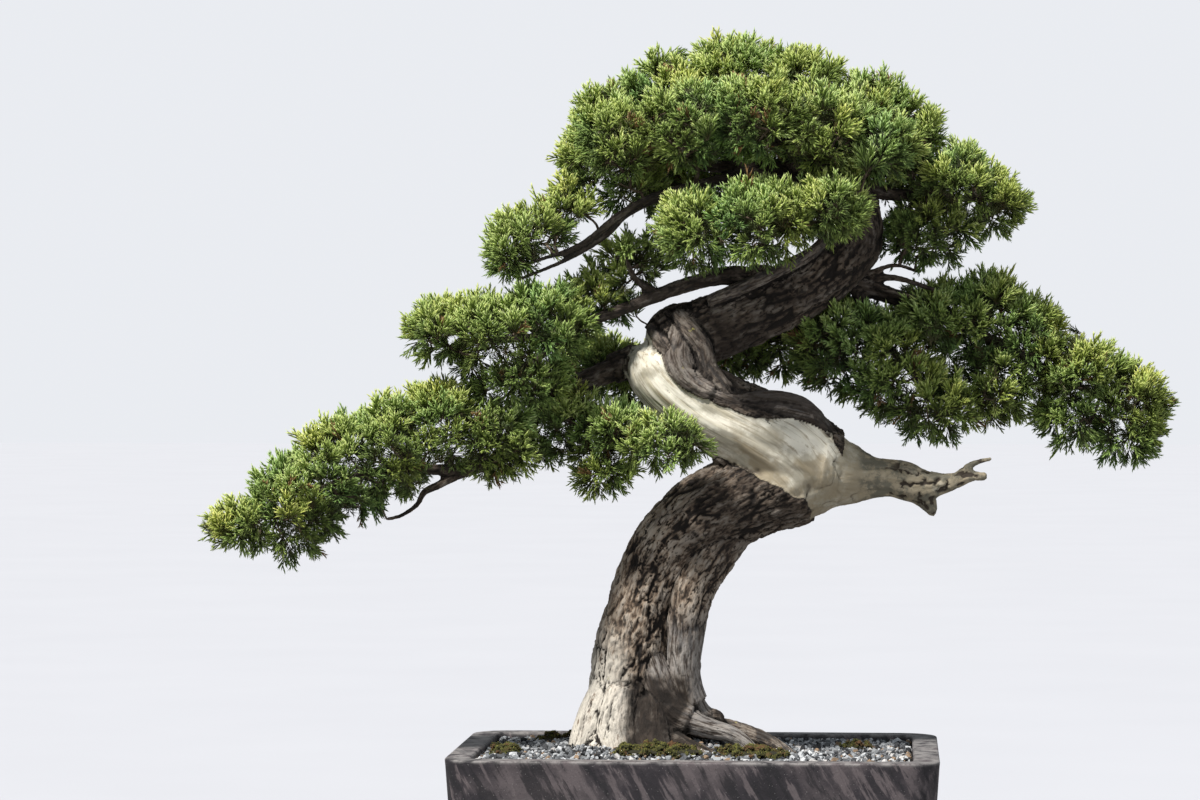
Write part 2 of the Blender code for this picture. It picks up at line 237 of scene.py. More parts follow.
def evaluated(obj: Object) -> Object:
    """Bakes an object's modifiers into its mesh.

    Args:
        obj: The object.

    Returns:
        The same object.
    """
    graph = bpy.context.evaluated_depsgraph_get()
    mesh = bpy.data.meshes.new_from_object(obj.evaluated_get(graph))
    obj.modifiers.clear()
    obj.data = mesh
    return obj


def set_attribute(obj: Object, name: str, values: Array) -> None:
    """Stores one number, or one vector, for each point of an object's mesh.

    Args:
        obj: The object.
        name: The attribute's name.
        values: One value, or one row of three, for each point.
    """
    vector = values.ndim == 2
    kind = "FLOAT_VECTOR" if vector else "FLOAT"
    attribute = obj.data.attributes.new(name, kind, "POINT")
    attribute.data.foreach_set("vector" if vector else "value", values.astype(np.float32).ravel())


def dress(
    obj: Object, material: Material, slot: Slot, *nodes: str
) -> Object:
    """Finishes a piece: its material, the body it rides on and what it stands for.

    Args:
        obj: The piece.
        material: Its finish.
        slot: The record's slot of that finish. Not used.
        nodes: The CAD nodes that it replaces.

    Returns:
        The same piece.
    """
    obj.data.materials.clear()
    obj.data.materials.append(material)
    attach(obj, "root")
    if nodes:
        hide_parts(*nodes)
    LOG.info("%s: %d faces", obj.name, len(obj.data.polygons))
    return obj


class Pile:
    """Copies of small triangle meshes, gathered into one mesh."""

    def __init__(self) -> None:
        """Starts with nothing."""
        self.points: list[Array] = []
        self.faces: list[Array] = []
        self.uvs: list[Array] = []
        self.count = 0

    def add(self, points: Array, faces: Array, uvs: Array | None = None) -> None:
        """Adds one mesh, or many copies of one at once.

        Args:
            points: Shaped (points, 3), or (copies, points, 3).
            faces: The triangles of one copy.
            uvs: Shaped like points, with two values in place of three.
        """
        points = points.reshape(-1, *points.shape[-2:])
        copies, each = points.shape[:2]
        starts = self.count + np.arange(copies)[:, None, None] * each
        self.points.append(points.reshape(-1, 3))
        self.faces.append((faces[None] + starts).reshape(-1, 3))
        if uvs is not None:
            self.uvs.append(uvs.reshape(-1, 2))
        self.count += copies * each

    def make(self, name: str) -> Object:
        """Makes one object of all that was added."""
        uv = np.concatenate(self.uvs) if self.uvs else None
        return make_object(name, np.concatenate(self.points), np.concatenate(self.faces), uv)


def turns_to(directions: Array, spins: Array) -> Array:
    """Rotations that turn +Z to each direction, after a spin about it.

    Args:
        directions: Unit vectors, one row each.
        spins: The angle of each spin.

    Returns:
        Matrices shaped (rows, 3, 3), whose columns are the turned axes.
    """
    helper = np.where(np.abs(directions[:, 2:]) < 0.9, (0.0, 0.0, 1.0), (1.0, 0.0, 0.0))
    first = unit(np.cross(helper, directions))
    second = np.cross(directions, first)
    cos, sin = np.cos(spins)[:, None], np.sin(spins)[:, None]
    return np.stack((first * cos + second * sin, second * cos - first * sin, directions), axis=2)


# ---------------------------------------------------------------- materials


class Graph:
    """A short way to write a material's nodes."""

    def __init__(self, name: str) -> None:
        """Starts a material with one Principled shader.

        Args:
            name: The material's name.
        """
        self.material = bpy.data.materials.new(name)
        self.material.use_nodes = True
        self.tree = self.material.node_tree
        self.shader = self.tree.nodes["Principled BSDF"]

    def node(
        self, kind: str, settings: dict[str, object] | None = None, **inputs: object
    ) -> Node:
        """Adds a node.

        Args:
            kind: The node's Blender type.
            settings: The node's own properties.
            inputs: Values or sockets for its inputs, by name with _ for a space, or i0, i1...
                for an input by its number.

        Returns:
            The node.
        """
        made = self.tree.nodes.new(kind)
        for key, value in (settings or {}).items():
            setattr(made, key, value)
        for key, value in inputs.items():
            number = key[1:] if key[0] == "i" and key[1:].isdigit() else None
            socket = made.inputs[int(number) if number else key.replace("_", " ")]
            if isinstance(value, Socket):
                self.tree.links.new(value, socket)
            else:
                socket.default_value = value
        return made

    def vector(self, name: str) -> Socket:
        """Reads one of the mesh's own vectors."""
        return self.node("ShaderNodeAttribute", {"attribute_name": name}).outputs["Vector"]

    def value(self, name: str) -> Socket:
        """Reads one of the mesh's own numbers."""
        return self.node("ShaderNodeAttribute", {"attribute_name": name}).outputs["Fac"]

    def map_pair(self) -> tuple[Socket, Socket]:
        """Reads the mesh's map.

        Returns:
            Its u and its v.
        """
        uv = self.node("ShaderNodeUVMap", {"uv_map": "OFBake"}).outputs[0]
        parts = self.node("ShaderNodeSeparateXYZ", Vector=uv)
        return parts.outputs["X"], parts.outputs["Y"]

    def place(self) -> Socket:
        """The point's place on the object, in metres."""
        return self.node("ShaderNodeTexCoord").outputs["Object"]

    def stretched(self, vector: Socket, scale: Rgb) -> Socket:
        """Scales a vector by three numbers."""
        return self.node("ShaderNodeMapping", Vector=vector, Scale=scale).outputs[0]

    def noise(
        self, vector: Socket, scale: float, detail: float = 3.0, roughness: float = 0.55
    ) -> Socket:
        """Makes soft noise.

        Args:
            vector: Where it is read.
            scale: How many lumps it has in one unit.
            detail: How many finer layers it has.
            roughness: How strong the finer layers are.

        Returns:
            A value from 0 to 1.
        """
        made = self.node(
            "ShaderNodeTexNoise", Vector=vector, Scale=scale, Detail=detail, Roughness=roughness
        )
        return made.outputs["Fac"]

    def math(self, operation: str, first: object, second: object = 0.0) -> Socket:
        """One arithmetic step."""
        settings = {"operation": operation, "use_clamp": False}
        return self.node("ShaderNodeMath", settings, i0=first, i1=second).outputs[0]

    def between(self, value: Socket, low: float, high: float) -> Socket:
        """Makes a smooth step.

        Args:
            value: What it follows.
            low: Where it is 0.
            high: Where it is 1, which may be the lower of the two.

        Returns:
            A value from 0 to 1.
        """
        made = self.node(
            "ShaderNodeMapRange", {"interpolation_type": "SMOOTHSTEP"}, Value=value, i1=low, i2=high
        )
        return made.outputs[0]

    def ramp(self, value: Socket, stops: Sequence[tuple[float, Rgb]]) -> Socket:
        """Turns a value into a colour.

        Args:
            value: What the colour follows.
            stops: Values with the colour at each.

        Returns:
            The colour.
        """
        made = self.node("ShaderNodeValToRGB", Fac=value)
        elements = made.color_ramp.elements
        while len(elements) < len(stops):
            elements.new(0.5)
        for element, (position, colour) in zip(elements, stops):
            element.position = position
            element.color = (*colour, 1.0)
        return made.outputs["Color"]

    def mix(self, share: object, first: object, second: object, blend: str = "MIX") -> Socket:
        """Mixes two colours, or blends the second over the first.

        Args:
            share: How much of the second there is, from 0 to 1.
            first: A colour.
            second: Another colour.
            blend: The node's way of blending.

        Returns:
            The colour.
        """
        made = self.node("ShaderNodeMix", {"data_type": "RGBA", "blend_type": blend})
        for number, value in ((0, share), (6, first), (7, second)):
            socket = made.inputs[number]
            if isinstance(value, Socket):
                self.tree.links.new(value, socket)
            else:
                socket.default_value = (*value, 1.0) if isinstance(value, tuple) else value
        return made.outputs[2]

    def cover(self, colour: Socket, tint: object, share: Socket, strength: object) -> Socket:
        """Mixes a tint over a colour by a share, at most as strongly as said."""
        return self.mix(self.math("MULTIPLY", share, strength), colour, tint)

    def bump(self, height: Socket, depth: float, strength: float = 1.0) -> None:
        """Adds a bump over any bump before it.

        Args:
            height: The relief, from 0 to 1.
            depth: Its depth in metres.
            strength: How much of it shows.
        """
        made = self.node("ShaderNodeBump", Height=height, Distance=depth, Strength=strength)
        socket = self.shader.inputs["Normal"]
        if socket.links:
            self.tree.links.new(socket.links[0].from_socket, made.inputs["Normal"])
        self.tree.links.new(made.outputs[0], socket)

    def finish(self, colour: Socket, roughness: object) -> Material:
        """Connects the last sockets.

        Args:
            colour: The base colour.
            roughness: The roughness, as a socket or a number.

        Returns:
            The material.
        """
        self.tree.links.new(colour, self.shader.inputs["Base Color"])
        if isinstance(roughness, Socket):
            self.tree.links.new(roughness, self.shader.inputs["Roughness"])
        else:
            self.shader.inputs["Roughness"].default_value = roughness
        return self.material


@dataclass(frozen=True)
class ClayFinish:
    """Unglazed fired clay: purple-grey, with fine specks, pale water marks, a worn rim and slanting
    streaks of painted sunlight and painted shadow.
    """

    body: Rgb = (0.030, 0.025, 0.032)
    warm: Rgb = (0.135, 0.112, 0.120)
    dark: Rgb = (0.012, 0.011, 0.015)
    chalk: Rgb = (0.30, 0.285, 0.285)
    rim_height: float = 0.1165
    rim_fade: float = 0.0035

    def material(self) -> Material:
        """Builds the finish.

        Returns:
            The material.
        """
        g = Graph("fired_clay_finish")
        place = g.place()
        cloud = g.noise(place, 14.0, 4.0)
        colour = g.ramp(cloud, ((0.32, self.dark), (0.5, self.body), (0.68, self.warm)))
        # Slanting streaks of painted sunlight (warm) and painted shadow (dark), as of light falling
        # through the foliage onto the wall.
        dapple_place = g.node(
            "ShaderNodeMapping", {"vector_type": "TEXTURE"},
            Vector=place, Rotation=(0.0, -0.5, 0.0), Scale=(0.0085, 0.0085, 0.055),
        ).outputs[0]
        painted_dapple = g.noise(dapple_place, 1.0, 4.0, 0.62)
        colour = g.cover(colour, self.warm, g.between(painted_dapple, 0.515, 0.60), 0.9)
        colour = g.cover(colour, self.dark, g.between(painted_dapple, 0.47, 0.38), 0.8)
        height = g.node("ShaderNodeSeparateXYZ", Vector=place).outputs["Z"]
        rim = g.between(height, self.rim_height, self.rim_height + self.rim_fade)
        worn = g.between(g.noise(place, 75.0, 5.0, 0.65), 0.36, 0.60)
        colour = g.cover(colour, self.chalk, rim, g.math("MULTIPLY", worn, 0.8))
        tide = g.between(g.noise(place, 30.0, 6.0, 0.7), 0.60, 0.78)
        colour = g.cover(colour, self.chalk, tide, 0.10)
        speck = g.between(g.noise(place, 900.0, 2.0), 0.62, 0.72)
        colour = g.cover(colour, self.dark, speck, 0.6)
        pale_speck = g.between(g.noise(place, 700.0, 1.0), 0.69, 0.76)
        colour = g.cover(colour, self.chalk, pale_speck, 0.5)
        g.bump(g.noise(place, 45.0, 3.0), 0.0012)
        g.bump(g.noise(place, 750.0, 3.0, 0.6), 0.00022)
        return g.finish(colour, g.between(cloud, -1.2, 1.6))


@dataclass(frozen=True)
class WoodFinish:
    """Bark and bleached deadwood, told apart by the mesh's own attributes.

    grain holds the place across and along the limb, dead is 1 on deadwood, crevice is 1 in a
    fissure and deep in a hollow, where its dark is painted shade, tone is 0 on pale old bark and 1
    on dark bark and also carries painted shade, relief is 1 on the top of a plate,
    sleek is 1 on smooth grey bark and pale is 1 on cream bark.
    """

    bark_pale: Rgb = (0.50, 0.40, 0.31)
    bark_grey: Rgb = (0.58, 0.50, 0.42)
    bark_brown: Rgb = (0.210, 0.148, 0.104)
    bark_dark: Rgb = (0.046, 0.032, 0.024)
    bark_deep: Rgb = (0.014, 0.010, 0.008)
    dark_shaded_brown: Rgb = (0.056, 0.042, 0.033)
    dark_shaded_grey: Rgb = (0.135, 0.115, 0.10)
    silver: Rgb = (0.50, 0.48, 0.47)
    slate: Rgb = (0.090, 0.080, 0.078)
    cream_bark: Rgb = (0.74, 0.69, 0.61)
    lichen: Rgb = (0.46, 0.42, 0.12)
    ivory: Rgb = (0.87, 0.83, 0.72)
    cream: Rgb = (0.68, 0.62, 0.48)
    tan: Rgb = (0.34, 0.27, 0.17)
    weathered_and_shaded: Rgb = (0.40, 0.365, 0.28)
    mouldy: Rgb = (0.135, 0.130, 0.100)
    rotten_and_shaded: Rgb = (0.050, 0.036, 0.024)

    def material(self) -> Material:
        """Builds the finish.

        Returns:
            The material.
        """
        g = Graph("juniper_wood_finish")
        grain = g.vector("grain")
        share = g.between(g.value("dead"), 0.42, 0.58)
        crevice = g.value("crevice")
        fibre = g.noise(g.stretched(grain, (420.0, 420.0, 60.0)), 1.0, 5.0, 0.62)
        flake = g.noise(g.stretched(grain, (170.0, 170.0, 70.0)), 1.0, 5.0, 0.65)
        patch = g.noise(g.place(), 42.0, 4.0, 0.6)
        bark = self._bark(g, grain, fibre, flake, patch)
        # Fissures darken the bark, and cracks and rot the deadwood; crevice also carries painted shade in
        # hollows.
        bark = g.mix(g.between(crevice, 0.15, 0.80), bark, self.bark_deep)
        wood = self._deadwood(g, grain, patch)
        wood = g.mix(g.between(crevice, 0.25, 0.95), wood, self.rotten_and_shaded)
        colour = g.mix(share, bark, wood)
        rough = g.math("SUBTRACT", 0.92, g.math("MULTIPLY", share, 0.22))
        fine = g.noise(g.stretched(grain, (700.0, 700.0, 50.0)), 1.0, 3.0, 0.6)
        g.bump(fine, 0.0005, 0.8)
        relief = g.math("MULTIPLY", g.math("ADD", flake, fibre), g.math("SUBTRACT", 1.0, share))
        g.bump(relief, 0.0022)
        return g.finish(colour, rough)

    def _bark(
        self, g: Graph, grain: Socket, fibre: Socket, flake: Socket, patch: Socket
    ) -> Socket:
        """The bark's colour.

        Args:
            g: The material's nodes.
            grain: The place across and along the wood.
            fibre: Fine noise along the limb.
            flake: Coarser noise along the limb.
            patch: Cloudy noise.

        Returns:
            The colour without the dark of the fissures.
        """
        tone, sleek, pale = g.value("tone"), g.value("sleek"), g.value("pale")
        swing = g.math("SUBTRACT", g.math("MULTIPLY", flake, 1.9), 0.95)
        level = g.math("ADD", g.value("relief"), swing)
        young = (self.bark_dark, self.bark_brown, self.bark_pale, self.bark_grey)
        # The dark ramp is dark bark, made darker still as painted shade where tone is high.
        old = (self.bark_deep, self.bark_dark, self.dark_shaded_brown, self.dark_shaded_grey)
        young = g.ramp(level, tuple(zip((0.10, 0.34, 0.58, 0.85), young)))
        old = g.ramp(level, tuple(zip((0.15, 0.45, 0.75, 1.0), old)))
        colour = g.mix(tone, young, old)
        colour = g.cover(colour, self.bark_dark, g.between(patch, 0.56, 0.70), 0.5)
        grey = g.ramp(fibre, ((0.36, self.slate), (0.56, self.silver)))
        grey = g.cover(grey, self.bark_dark, tone, 0.85)
        colour = g.cover(colour, grey, sleek, 0.85)
        pits = g.noise(g.stretched(grain, (300.0, 300.0, 160.0)), 1.0, 3.0)
        pitted = g.math("SUBTRACT", 0.8, g.math("MULTIPLY", sleek, 0.6))
        colour = g.cover(colour, self.bark_deep, g.between(pits, 0.46, 0.36), pitted)
        cream = g.mix(g.between(flake, 0.44, 0.30), self.cream_bark, self.bark_brown)
        colour = g.mix(pale, colour, cream)
        lined = g.math("SUBTRACT", 0.75, g.math("MULTIPLY", pale, 0.35))
        colour = g.cover(colour, self.bark_dark, g.between(fibre, 0.50, 0.34), lined)
        spots = g.between(g.noise(g.place(), 95.0, 4.0, 0.6), 0.70, 0.76)
        return g.cover(colour, self.lichen, spots, 0.7)

    def _deadwood(self, g: Graph, grain: Socket, patch: Socket) -> Socket:
        """The bleached wood's colour, with fine grain lines, patches greyed by sun and rain, and painted
        shade on its lower part.

        Args:
            g: The material's nodes.
            grain: The place across and along the wood.
            patch: Cloudy noise.

        Returns:
            The colour without the dark of its pits.
        """
        tone = g.value("tone")
        lines = g.noise(g.stretched(grain, (330.0, 330.0, 11.0)), 1.0, 5.0, 0.62)
        broad = g.noise(g.stretched(grain, (95.0, 95.0, 14.0)), 1.0, 4.0)
        bands = (self.cream, self.ivory, self.ivory, self.cream)
        colour = g.ramp(broad, tuple(zip((0.34, 0.50, 0.62, 0.74), bands)))
        colour = g.cover(colour, self.tan, g.between(lines, 0.50, 0.34), 0.75)
        # High tone on the deadwood brings the grey and tan patches: real weathering on the snag, painted
        # shade on the lower part of the turn.
        cloud = g.math("ADD", g.noise(g.place(), 30.0, 5.0, 0.6), g.math("MULTIPLY", tone, 0.22))
        colour = g.cover(colour, self.weathered_and_shaded, g.between(cloud, 0.52, 0.68), 0.75)
        stain_and_shade = g.math("ADD", patch, g.math("SUBTRACT", g.math("MULTIPLY", tone, 0.42), 0.12))
        colour = g.cover(colour, self.tan, g.between(stain_and_shade, 0.52, 0.72), 0.7)
        mould = g.math("MULTIPLY", g.between(g.noise(g.place(), 75.0, 5.0, 0.7), 0.40, 0.56), 0.85)
        return g.cover(colour, self.mouldy, g.between(tone, 0.70, 0.95), mould)


@dataclass(frozen=True)
class TwigFinish:
    """Thin dark bark on the twigs inside the foliage."""

    brown: Rgb = (0.095, 0.066, 0.045)
    grey: Rgb = (0.22, 0.18, 0.14)
    dark: Rgb = (0.022, 0.016, 0.012)

    def material(self) -> Material:
        """Builds the finish.

        Returns:
            The material.
        """
        g = Graph("twig_bark_finish")
        place = g.place()
        colour = g.ramp(
            g.noise(place, 120.0, 4.0), ((0.30, self.dark), (0.5, self.brown), (0.72, self.grey))
        )
        g.bump(g.noise(place, 900.0, 3.0), 0.0003)
        return g.finish(colour, 0.88)


@dataclass(frozen=True)
class FoliageFinish:
    """Scale foliage. u runs from a cord's old base to its fresh tip, lowered as painted shade in the
    filling and raised as painted light on tufts that face up, and v is its hue.
    """

    stops: tuple[tuple[float, Rgb], ...] = (
        (0.00, (0.140, 0.104, 0.052)),
        (0.14, (0.098, 0.100, 0.038)),
        (0.32, (0.112, 0.162, 0.044)),
        (0.58, (0.285, 0.400, 0.090)),
        (0.82, (0.500, 0.630, 0.205)),
        (1.00, (0.690, 0.760, 0.370)),
    )
    blue: Rgb = (0.52, 0.82, 0.95)
    yellow: Rgb = (1.32, 1.08, 0.75)
    dry: Rgb = (0.24, 0.14, 0.055)

    def material(self) -> Material:
        """Builds the finish.

        Returns:
            The material.
        """
        g = Graph("juniper_foliage_finish")
        age_and_shade, hue = g.map_pair()
        colour = g.ramp(age_and_shade, self.stops)
        tint = g.ramp(hue, ((0.0, self.blue), (0.5, WHITE), (0.92, self.yellow)))
        colour = g.mix(1.0, colour, tint, "MULTIPLY")
        colour = g.mix(g.between(hue, 0.955, 0.965), colour, self.dry)
        return g.finish(colour, 0.55)


@dataclass(frozen=True)
class GritFinish:
    """Crushed pumice and lava. u picks the stone, and v is its lightness."""

    stones: tuple[tuple[float, Rgb], ...] = (
        (0.00, (0.018, 0.019, 0.022)),
        (0.20, (0.080, 0.084, 0.094)),
        (0.42, (0.25, 0.265, 0.285)),
        (0.60, (0.47, 0.49, 0.52)),
        (0.80, (0.74, 0.76, 0.79)),
        (0.92, (0.30, 0.21, 0.14)),
    )
    shade: Rgb = (0.62, 0.62, 0.62)
    shine: Rgb = (1.3, 1.3, 1.3)

    def material(self) -> Material:
        """Builds the finish.

        Returns:
            The material.
        """
        g = Graph("grit_finish")
        stone, lightness = g.map_pair()
        colour = g.ramp(stone, self.stones)
        light = g.ramp(lightness, ((0.0, self.shade), (1.0, self.shine)))
        colour = g.mix(1.0, colour, light, "MULTIPLY")
        g.bump(g.noise(g.place(), 1500.0, 2.0), 0.0003)
        return g.finish(colour, 0.93)


@dataclass(frozen=True)
class EarthFinish:
    """The dark fine soil between the grains."""

    wet: Rgb = (0.020, 0.016, 0.012)
    dry: Rgb = (0.085, 0.070, 0.055)

    def material(self) -> Material:
        """Builds the finish.

        Returns:
            The material.
        """
        g = Graph("earth_finish")
        place = g.place()
        colour = g.ramp(g.noise(place, 260.0, 5.0, 0.7), ((0.36, self.wet), (0.66, self.dry)))
        g.bump(g.noise(place, 600.0, 3.0), 0.0012)
        return g.finish(colour, 0.97)


@dataclass(frozen=True)
class MossFinish:
    """Moss shoots. u runs from a shoot's base to its tip, and v from green to red-brown."""

    base: Rgb = (0.018, 0.016, 0.008)
    green: Rgb = (0.050, 0.052, 0.010)
    tip: Rgb = (0.38, 0.37, 0.065)
    rust: Rgb = (0.125, 0.060, 0.026)

    def material(self) -> Material:
        """Builds the finish.

        Returns:
            The material.
        """
        g = Graph("moss_finish")
        height, kind = g.map_pair()
        colour = g.ramp(height, ((0.0, self.base), (0.62, self.green), (1.0, self.tip)))
        rusty = g.math("MULTIPLY", g.between(kind, 0.55, 0.80), g.between(height, 0.1, 0.6))
        return g.finish(g.mix(rusty, colour, self.rust), 0.9)


@dataclass(frozen=True)
class PlasticFinish:
    """Black moulded plastic with a fine texture."""

    black: Rgb = (0.018, 0.018, 0.019)
    dusty: Rgb = (0.060, 0.055, 0.050)

    def material(self) -> Material:
        """Builds the finish.

        Returns:
            The material.
        """
        g = Graph("screen_plastic_finish")
        place = g.place()
        colour = g.mix(g.between(g.noise(place, 180.0, 4.0), 0.45, 0.7), self.black, self.dusty)
        g.bump(g.noise(place, 1200.0, 2.0), 0.0001)
        return g.finish(colour, 0.5)


# ---------------------------------------------------------------- limbs


class Spine:
    """A smooth line through a limb, with its radius, direction and sideways frame."""

    def __init__(self, knots: Sequence[Knot], step: float = 3.0) -> None:
        """Samples a Catmull-Rom curve through the knots.

        Args:
            knots: Points of the line with the limb's radius at each.
            step: The distance between samples.
        """
        control = np.array(knots, float)
        control = np.vstack((2 * control[0] - control[1], control, 2 * control[-1] - control[-2]))
        samples = []
        for before, start, end, after in zip(control, control[1:], control[2:], control[3:]):
            count = max(2, round(float(np.linalg.norm(end[:3] - start[:3])) / step))
            t = np.linspace(0.0, 1.0, count, endpoint=False)[:, None]
            bend = 2 * before - 5 * start + 4 * end - after
            twist = 3 * start - before - 3 * end + after
            samples.append(start + 0.5 * ((end - before) * t + bend * t * t + twist * t**3))
        samples.append(control[-2:-1])
        line = np.vstack(samples)
        self.centres, self.radii = line[:, :3], np.maximum(line[:, 3], 0.4)
        self.tangents = unit(np.gradient(self.centres, axis=0))
        lengths = np.linalg.norm(np.diff(self.centres, axis=0), axis=1)
        self.along = np.concatenate(((0.0,), np.cumsum(lengths)))
        ahead = np.array((0.0, -1.0, 0.0))
        if abs(self.tangents[0] @ ahead) > 0.8:
            ahead = np.array((1.0, 0.0, 0.0))
        fronts = []
        for tangent in self.tangents:
            ahead = unit(ahead - tangent * (ahead @ tangent))
            fronts.append(ahead)
        self.fronts = np.array(fronts)
        self.sides = np.cross(self.tangents, self.fronts)

    def nearest(self, points: Array) -> Array:
        """Finds the sample nearest to each point.

        Args:
            points: The points, one row each.

        Returns:
            The samples' numbers.
        """
        reach = np.einsum("ij,ij->i", self.centres, self.centres)
        blocks = np.array_split(points, len(points) // 20000 + 1)
        return np.concatenate([np.argmin(reach - 2 * b @ self.centres.T, axis=1) for b in blocks])

    def grain_at(self, points: Array) -> Array:
        """Finds each point's place on the limb.

        Args:
            points: The points, one row each.

        Returns:
            Rows of two places across the limb and one along it.
        """
        near = self.nearest(points)
        away = points - self.centres[near]
        axes = (self.tangents, self.fronts, self.sides)
        ahead, front, side = (np.einsum("ij,ij->i", away, axis[near]) for axis in axes)
        return np.column_stack((front, side, self.along[near] + ahead))

    def tube(self, sides: int) -> Pair:
        """A closed tube round the line.

        Args:
            sides: How many sides it has.

        Returns:
            Its points and its triangles.
        """
        angles = np.linspace(0.0, 2 * math.pi, sides, endpoint=False)
        ring = np.cos(angles)[None, :, None] * self.fronts[:, None]
        ring = ring + np.sin(angles)[None, :, None] * self.sides[:, None]
        rings = self.centres[:, None] + ring * self.radii[:, None, None]
        count = len(self.centres)
        tail = self.centres[0] - self.tangents[0] * self.radii[0] * 0.5
        tip = self.centres[-1] + self.tangents[-1] * self.radii[-1] * 0.8
        walls = ring_quads(count, sides)
        first, last = np.arange(sides), np.arange(sides) + (count - 1) * sides
        start, end = fan(first, count * sides), fan(last, count * sides + 1)
        faces = (walls[:, [0, 2, 3]], walls[:, [0, 1, 2]], start[:, ::-1], end[:, [2, 0, 1]])
        return np.vstack((rings.reshape(-1, 3), tail, tip)), np.vstack(faces)


@dataclass(frozen=True)
class Limb:
    """A stem, root or branch.

    tone is how dark its bark is, with painted shade in it on the front foot, the upper trunk and the
    crown, and smooth is how little relief it has, both from 0 to 1.
    grain names the limb whose direction its fibres follow, and is empty for its own.
    """

    knots: tuple[Knot, ...]
    tone: float = 0.25
    smooth: float = 0.0
    grain: str = ""


class Skin:
    """Limbs grown into one skin, with each point's place across and along its limb."""

    def __init__(self, limbs: dict[str, Limb], voxel: float, smoothing: int) -> None:
        """Joins the limbs and rounds the crotches between them.

        Args:
            limbs: The limbs by name.
            voxel: The size of the skin's faces.
            smoothing: How many times the skin is relaxed.
        """
        pile = Pile()
        self.limbs = limbs
        self.spines = {name: Spine(limb.knots) for name, limb in limbs.items()}
        for spine in self.spines.values():
            pile.add(*spine.tube(28))
        self.obj = pile.make("skin")
        skin = self.obj.modifiers.new("skin", "REMESH")
        skin.mode = "VOXEL"
        skin.voxel_size = voxel * MM
        evaluated(self.obj)
        mesh = self.obj.data
        mesh.polygons.foreach_set("use_smooth", np.ones(len(mesh.polygons), bool))
        self.points = mesh_arrays(mesh)[0]
        self.faces = np.empty(len(mesh.loops), np.int32)
        mesh.loops.foreach_get("vertex_index", self.faces)
        self.faces = self.faces.reshape(-1, 4)
        edges = np.empty(len(mesh.edges) * 2, np.int32)
        mesh.edges.foreach_get("vertices", edges)
        edges = edges.reshape(-1, 2)
        self.here, self.there = np.concatenate((edges, edges[:, ::-1])).T
        self.degree = np.maximum(np.bincount(self.here, minlength=len(self.points)), 1)
        self.points = self.relaxed(self.points, smoothing, 0.5)
        self._measure()

    def relaxed(self, values: Array, times: int, share: float = 1.0) -> Array:
        """Moves each point's value towards the mean of its neighbours.

        Args:
            values: One value, or one row, for each point.
            times: How many times they are moved.
            share: How far they go each time, from 0 to 1.

        Returns:
            The new values.
        """
        flat = values.reshape(len(values), -1)
        for _ in range(times):
            means = [
                np.bincount(self.here, weights=column[self.there], minlength=len(flat)) / self.degree
                for column in flat.T
            ]
            flat = flat + share * (np.stack(means, axis=1) - flat)
        return flat.reshape(values.shape)

    def _measure(self) -> None:
        """Finds the limb that each point belongs to, and its place on it."""
        count = len(self.points)
        best = np.full(count, np.inf)
        self.owner, self.radius = np.zeros(count, int), np.zeros(count)
        for number, spine in enumerate(self.spines.values()):
            reach = spine.radii.max() + 12.0
            low, high = spine.centres.min(axis=0) - reach, spine.centres.max(axis=0) + reach
            inside = np.flatnonzero(((self.points > low) & (self.points < high)).all(axis=1))
            if not len(inside):
                continue
            near = spine.nearest(self.points[inside])
            away = np.linalg.norm(self.points[inside] - spine.centres[near], axis=1)
            away -= spine.radii[near]
            better = away < best[inside]
            chosen = inside[better]
            best[chosen], self.owner[chosen] = away[better], number
            self.radius[chosen] = spine.radii[near[better]]
        self.grain = np.zeros_like(self.points)
        names = list(self.limbs)
        for number, name in enumerate(names):
            mine = np.flatnonzero(self.owner == number)
            if len(mine):
                guide = self.limbs[name].grain or name
                shift = 41.0 * names.index(guide)
                self.grain[mine] = self.spines[guide].grain_at(self.points[mine]) + shift
        self.tone = self.relaxed(self.of_limb("tone"), 14)
        self.smooth = self.relaxed(self.of_limb("smooth"), 8)

    def of_limb(self, field: str) -> Array:
        """One of the limbs' numbers, for each point."""
        return np.array([getattr(limb, field) for limb in self.limbs.values()])[self.owner]

    def normals(self) -> Array:
        """Measures the skin's outward directions.

        Returns:
            One unit vector for each point.
        """
        mesh = self.obj.data
        mesh.vertices.foreach_set("co", (self.points * MM).astype(np.float32).ravel())
        mesh.update()
        found = np.empty(len(self.points) * 3, np.float32)
        mesh.vertex_normals.foreach_get("vector", found)
        return found.reshape(-1, 3).astype(float)

    def raise_by(self, heights: Array) -> None:
        """Moves each point out by its height."""
        self.points = self.points + self.normals() * heights[:, None]

    def hollows(self, times: int) -> Array:
        """How deep each point lies in a hollow, or less than 0 on a crest, in millimetres."""
        away = self.relaxed(self.points, times) - self.points
        return np.einsum("ij,ij->i", away, self.normals())

    def cut(
        self, name: str, chosen: Array, attributes: dict[str, Array]
    ) -> Object:
        """Makes a piece of some of the faces, shaded as if it were still part of the whole.

        Args:
            name: The piece's name.
            chosen: Which faces it has.
            attributes: The values to store, one for each point of the skin.

        Returns:
            The piece.
        """
        used, faces = np.unique(self.faces[chosen], return_inverse=True)
        piece = make_object(name, self.points[used], faces.reshape(-1, 4))
        for key, values in attributes.items():
            set_attribute(piece, key, values[used])
        piece.data.normals_split_custom_set_from_vertices(self.normals()[used].tolist())
        return piece


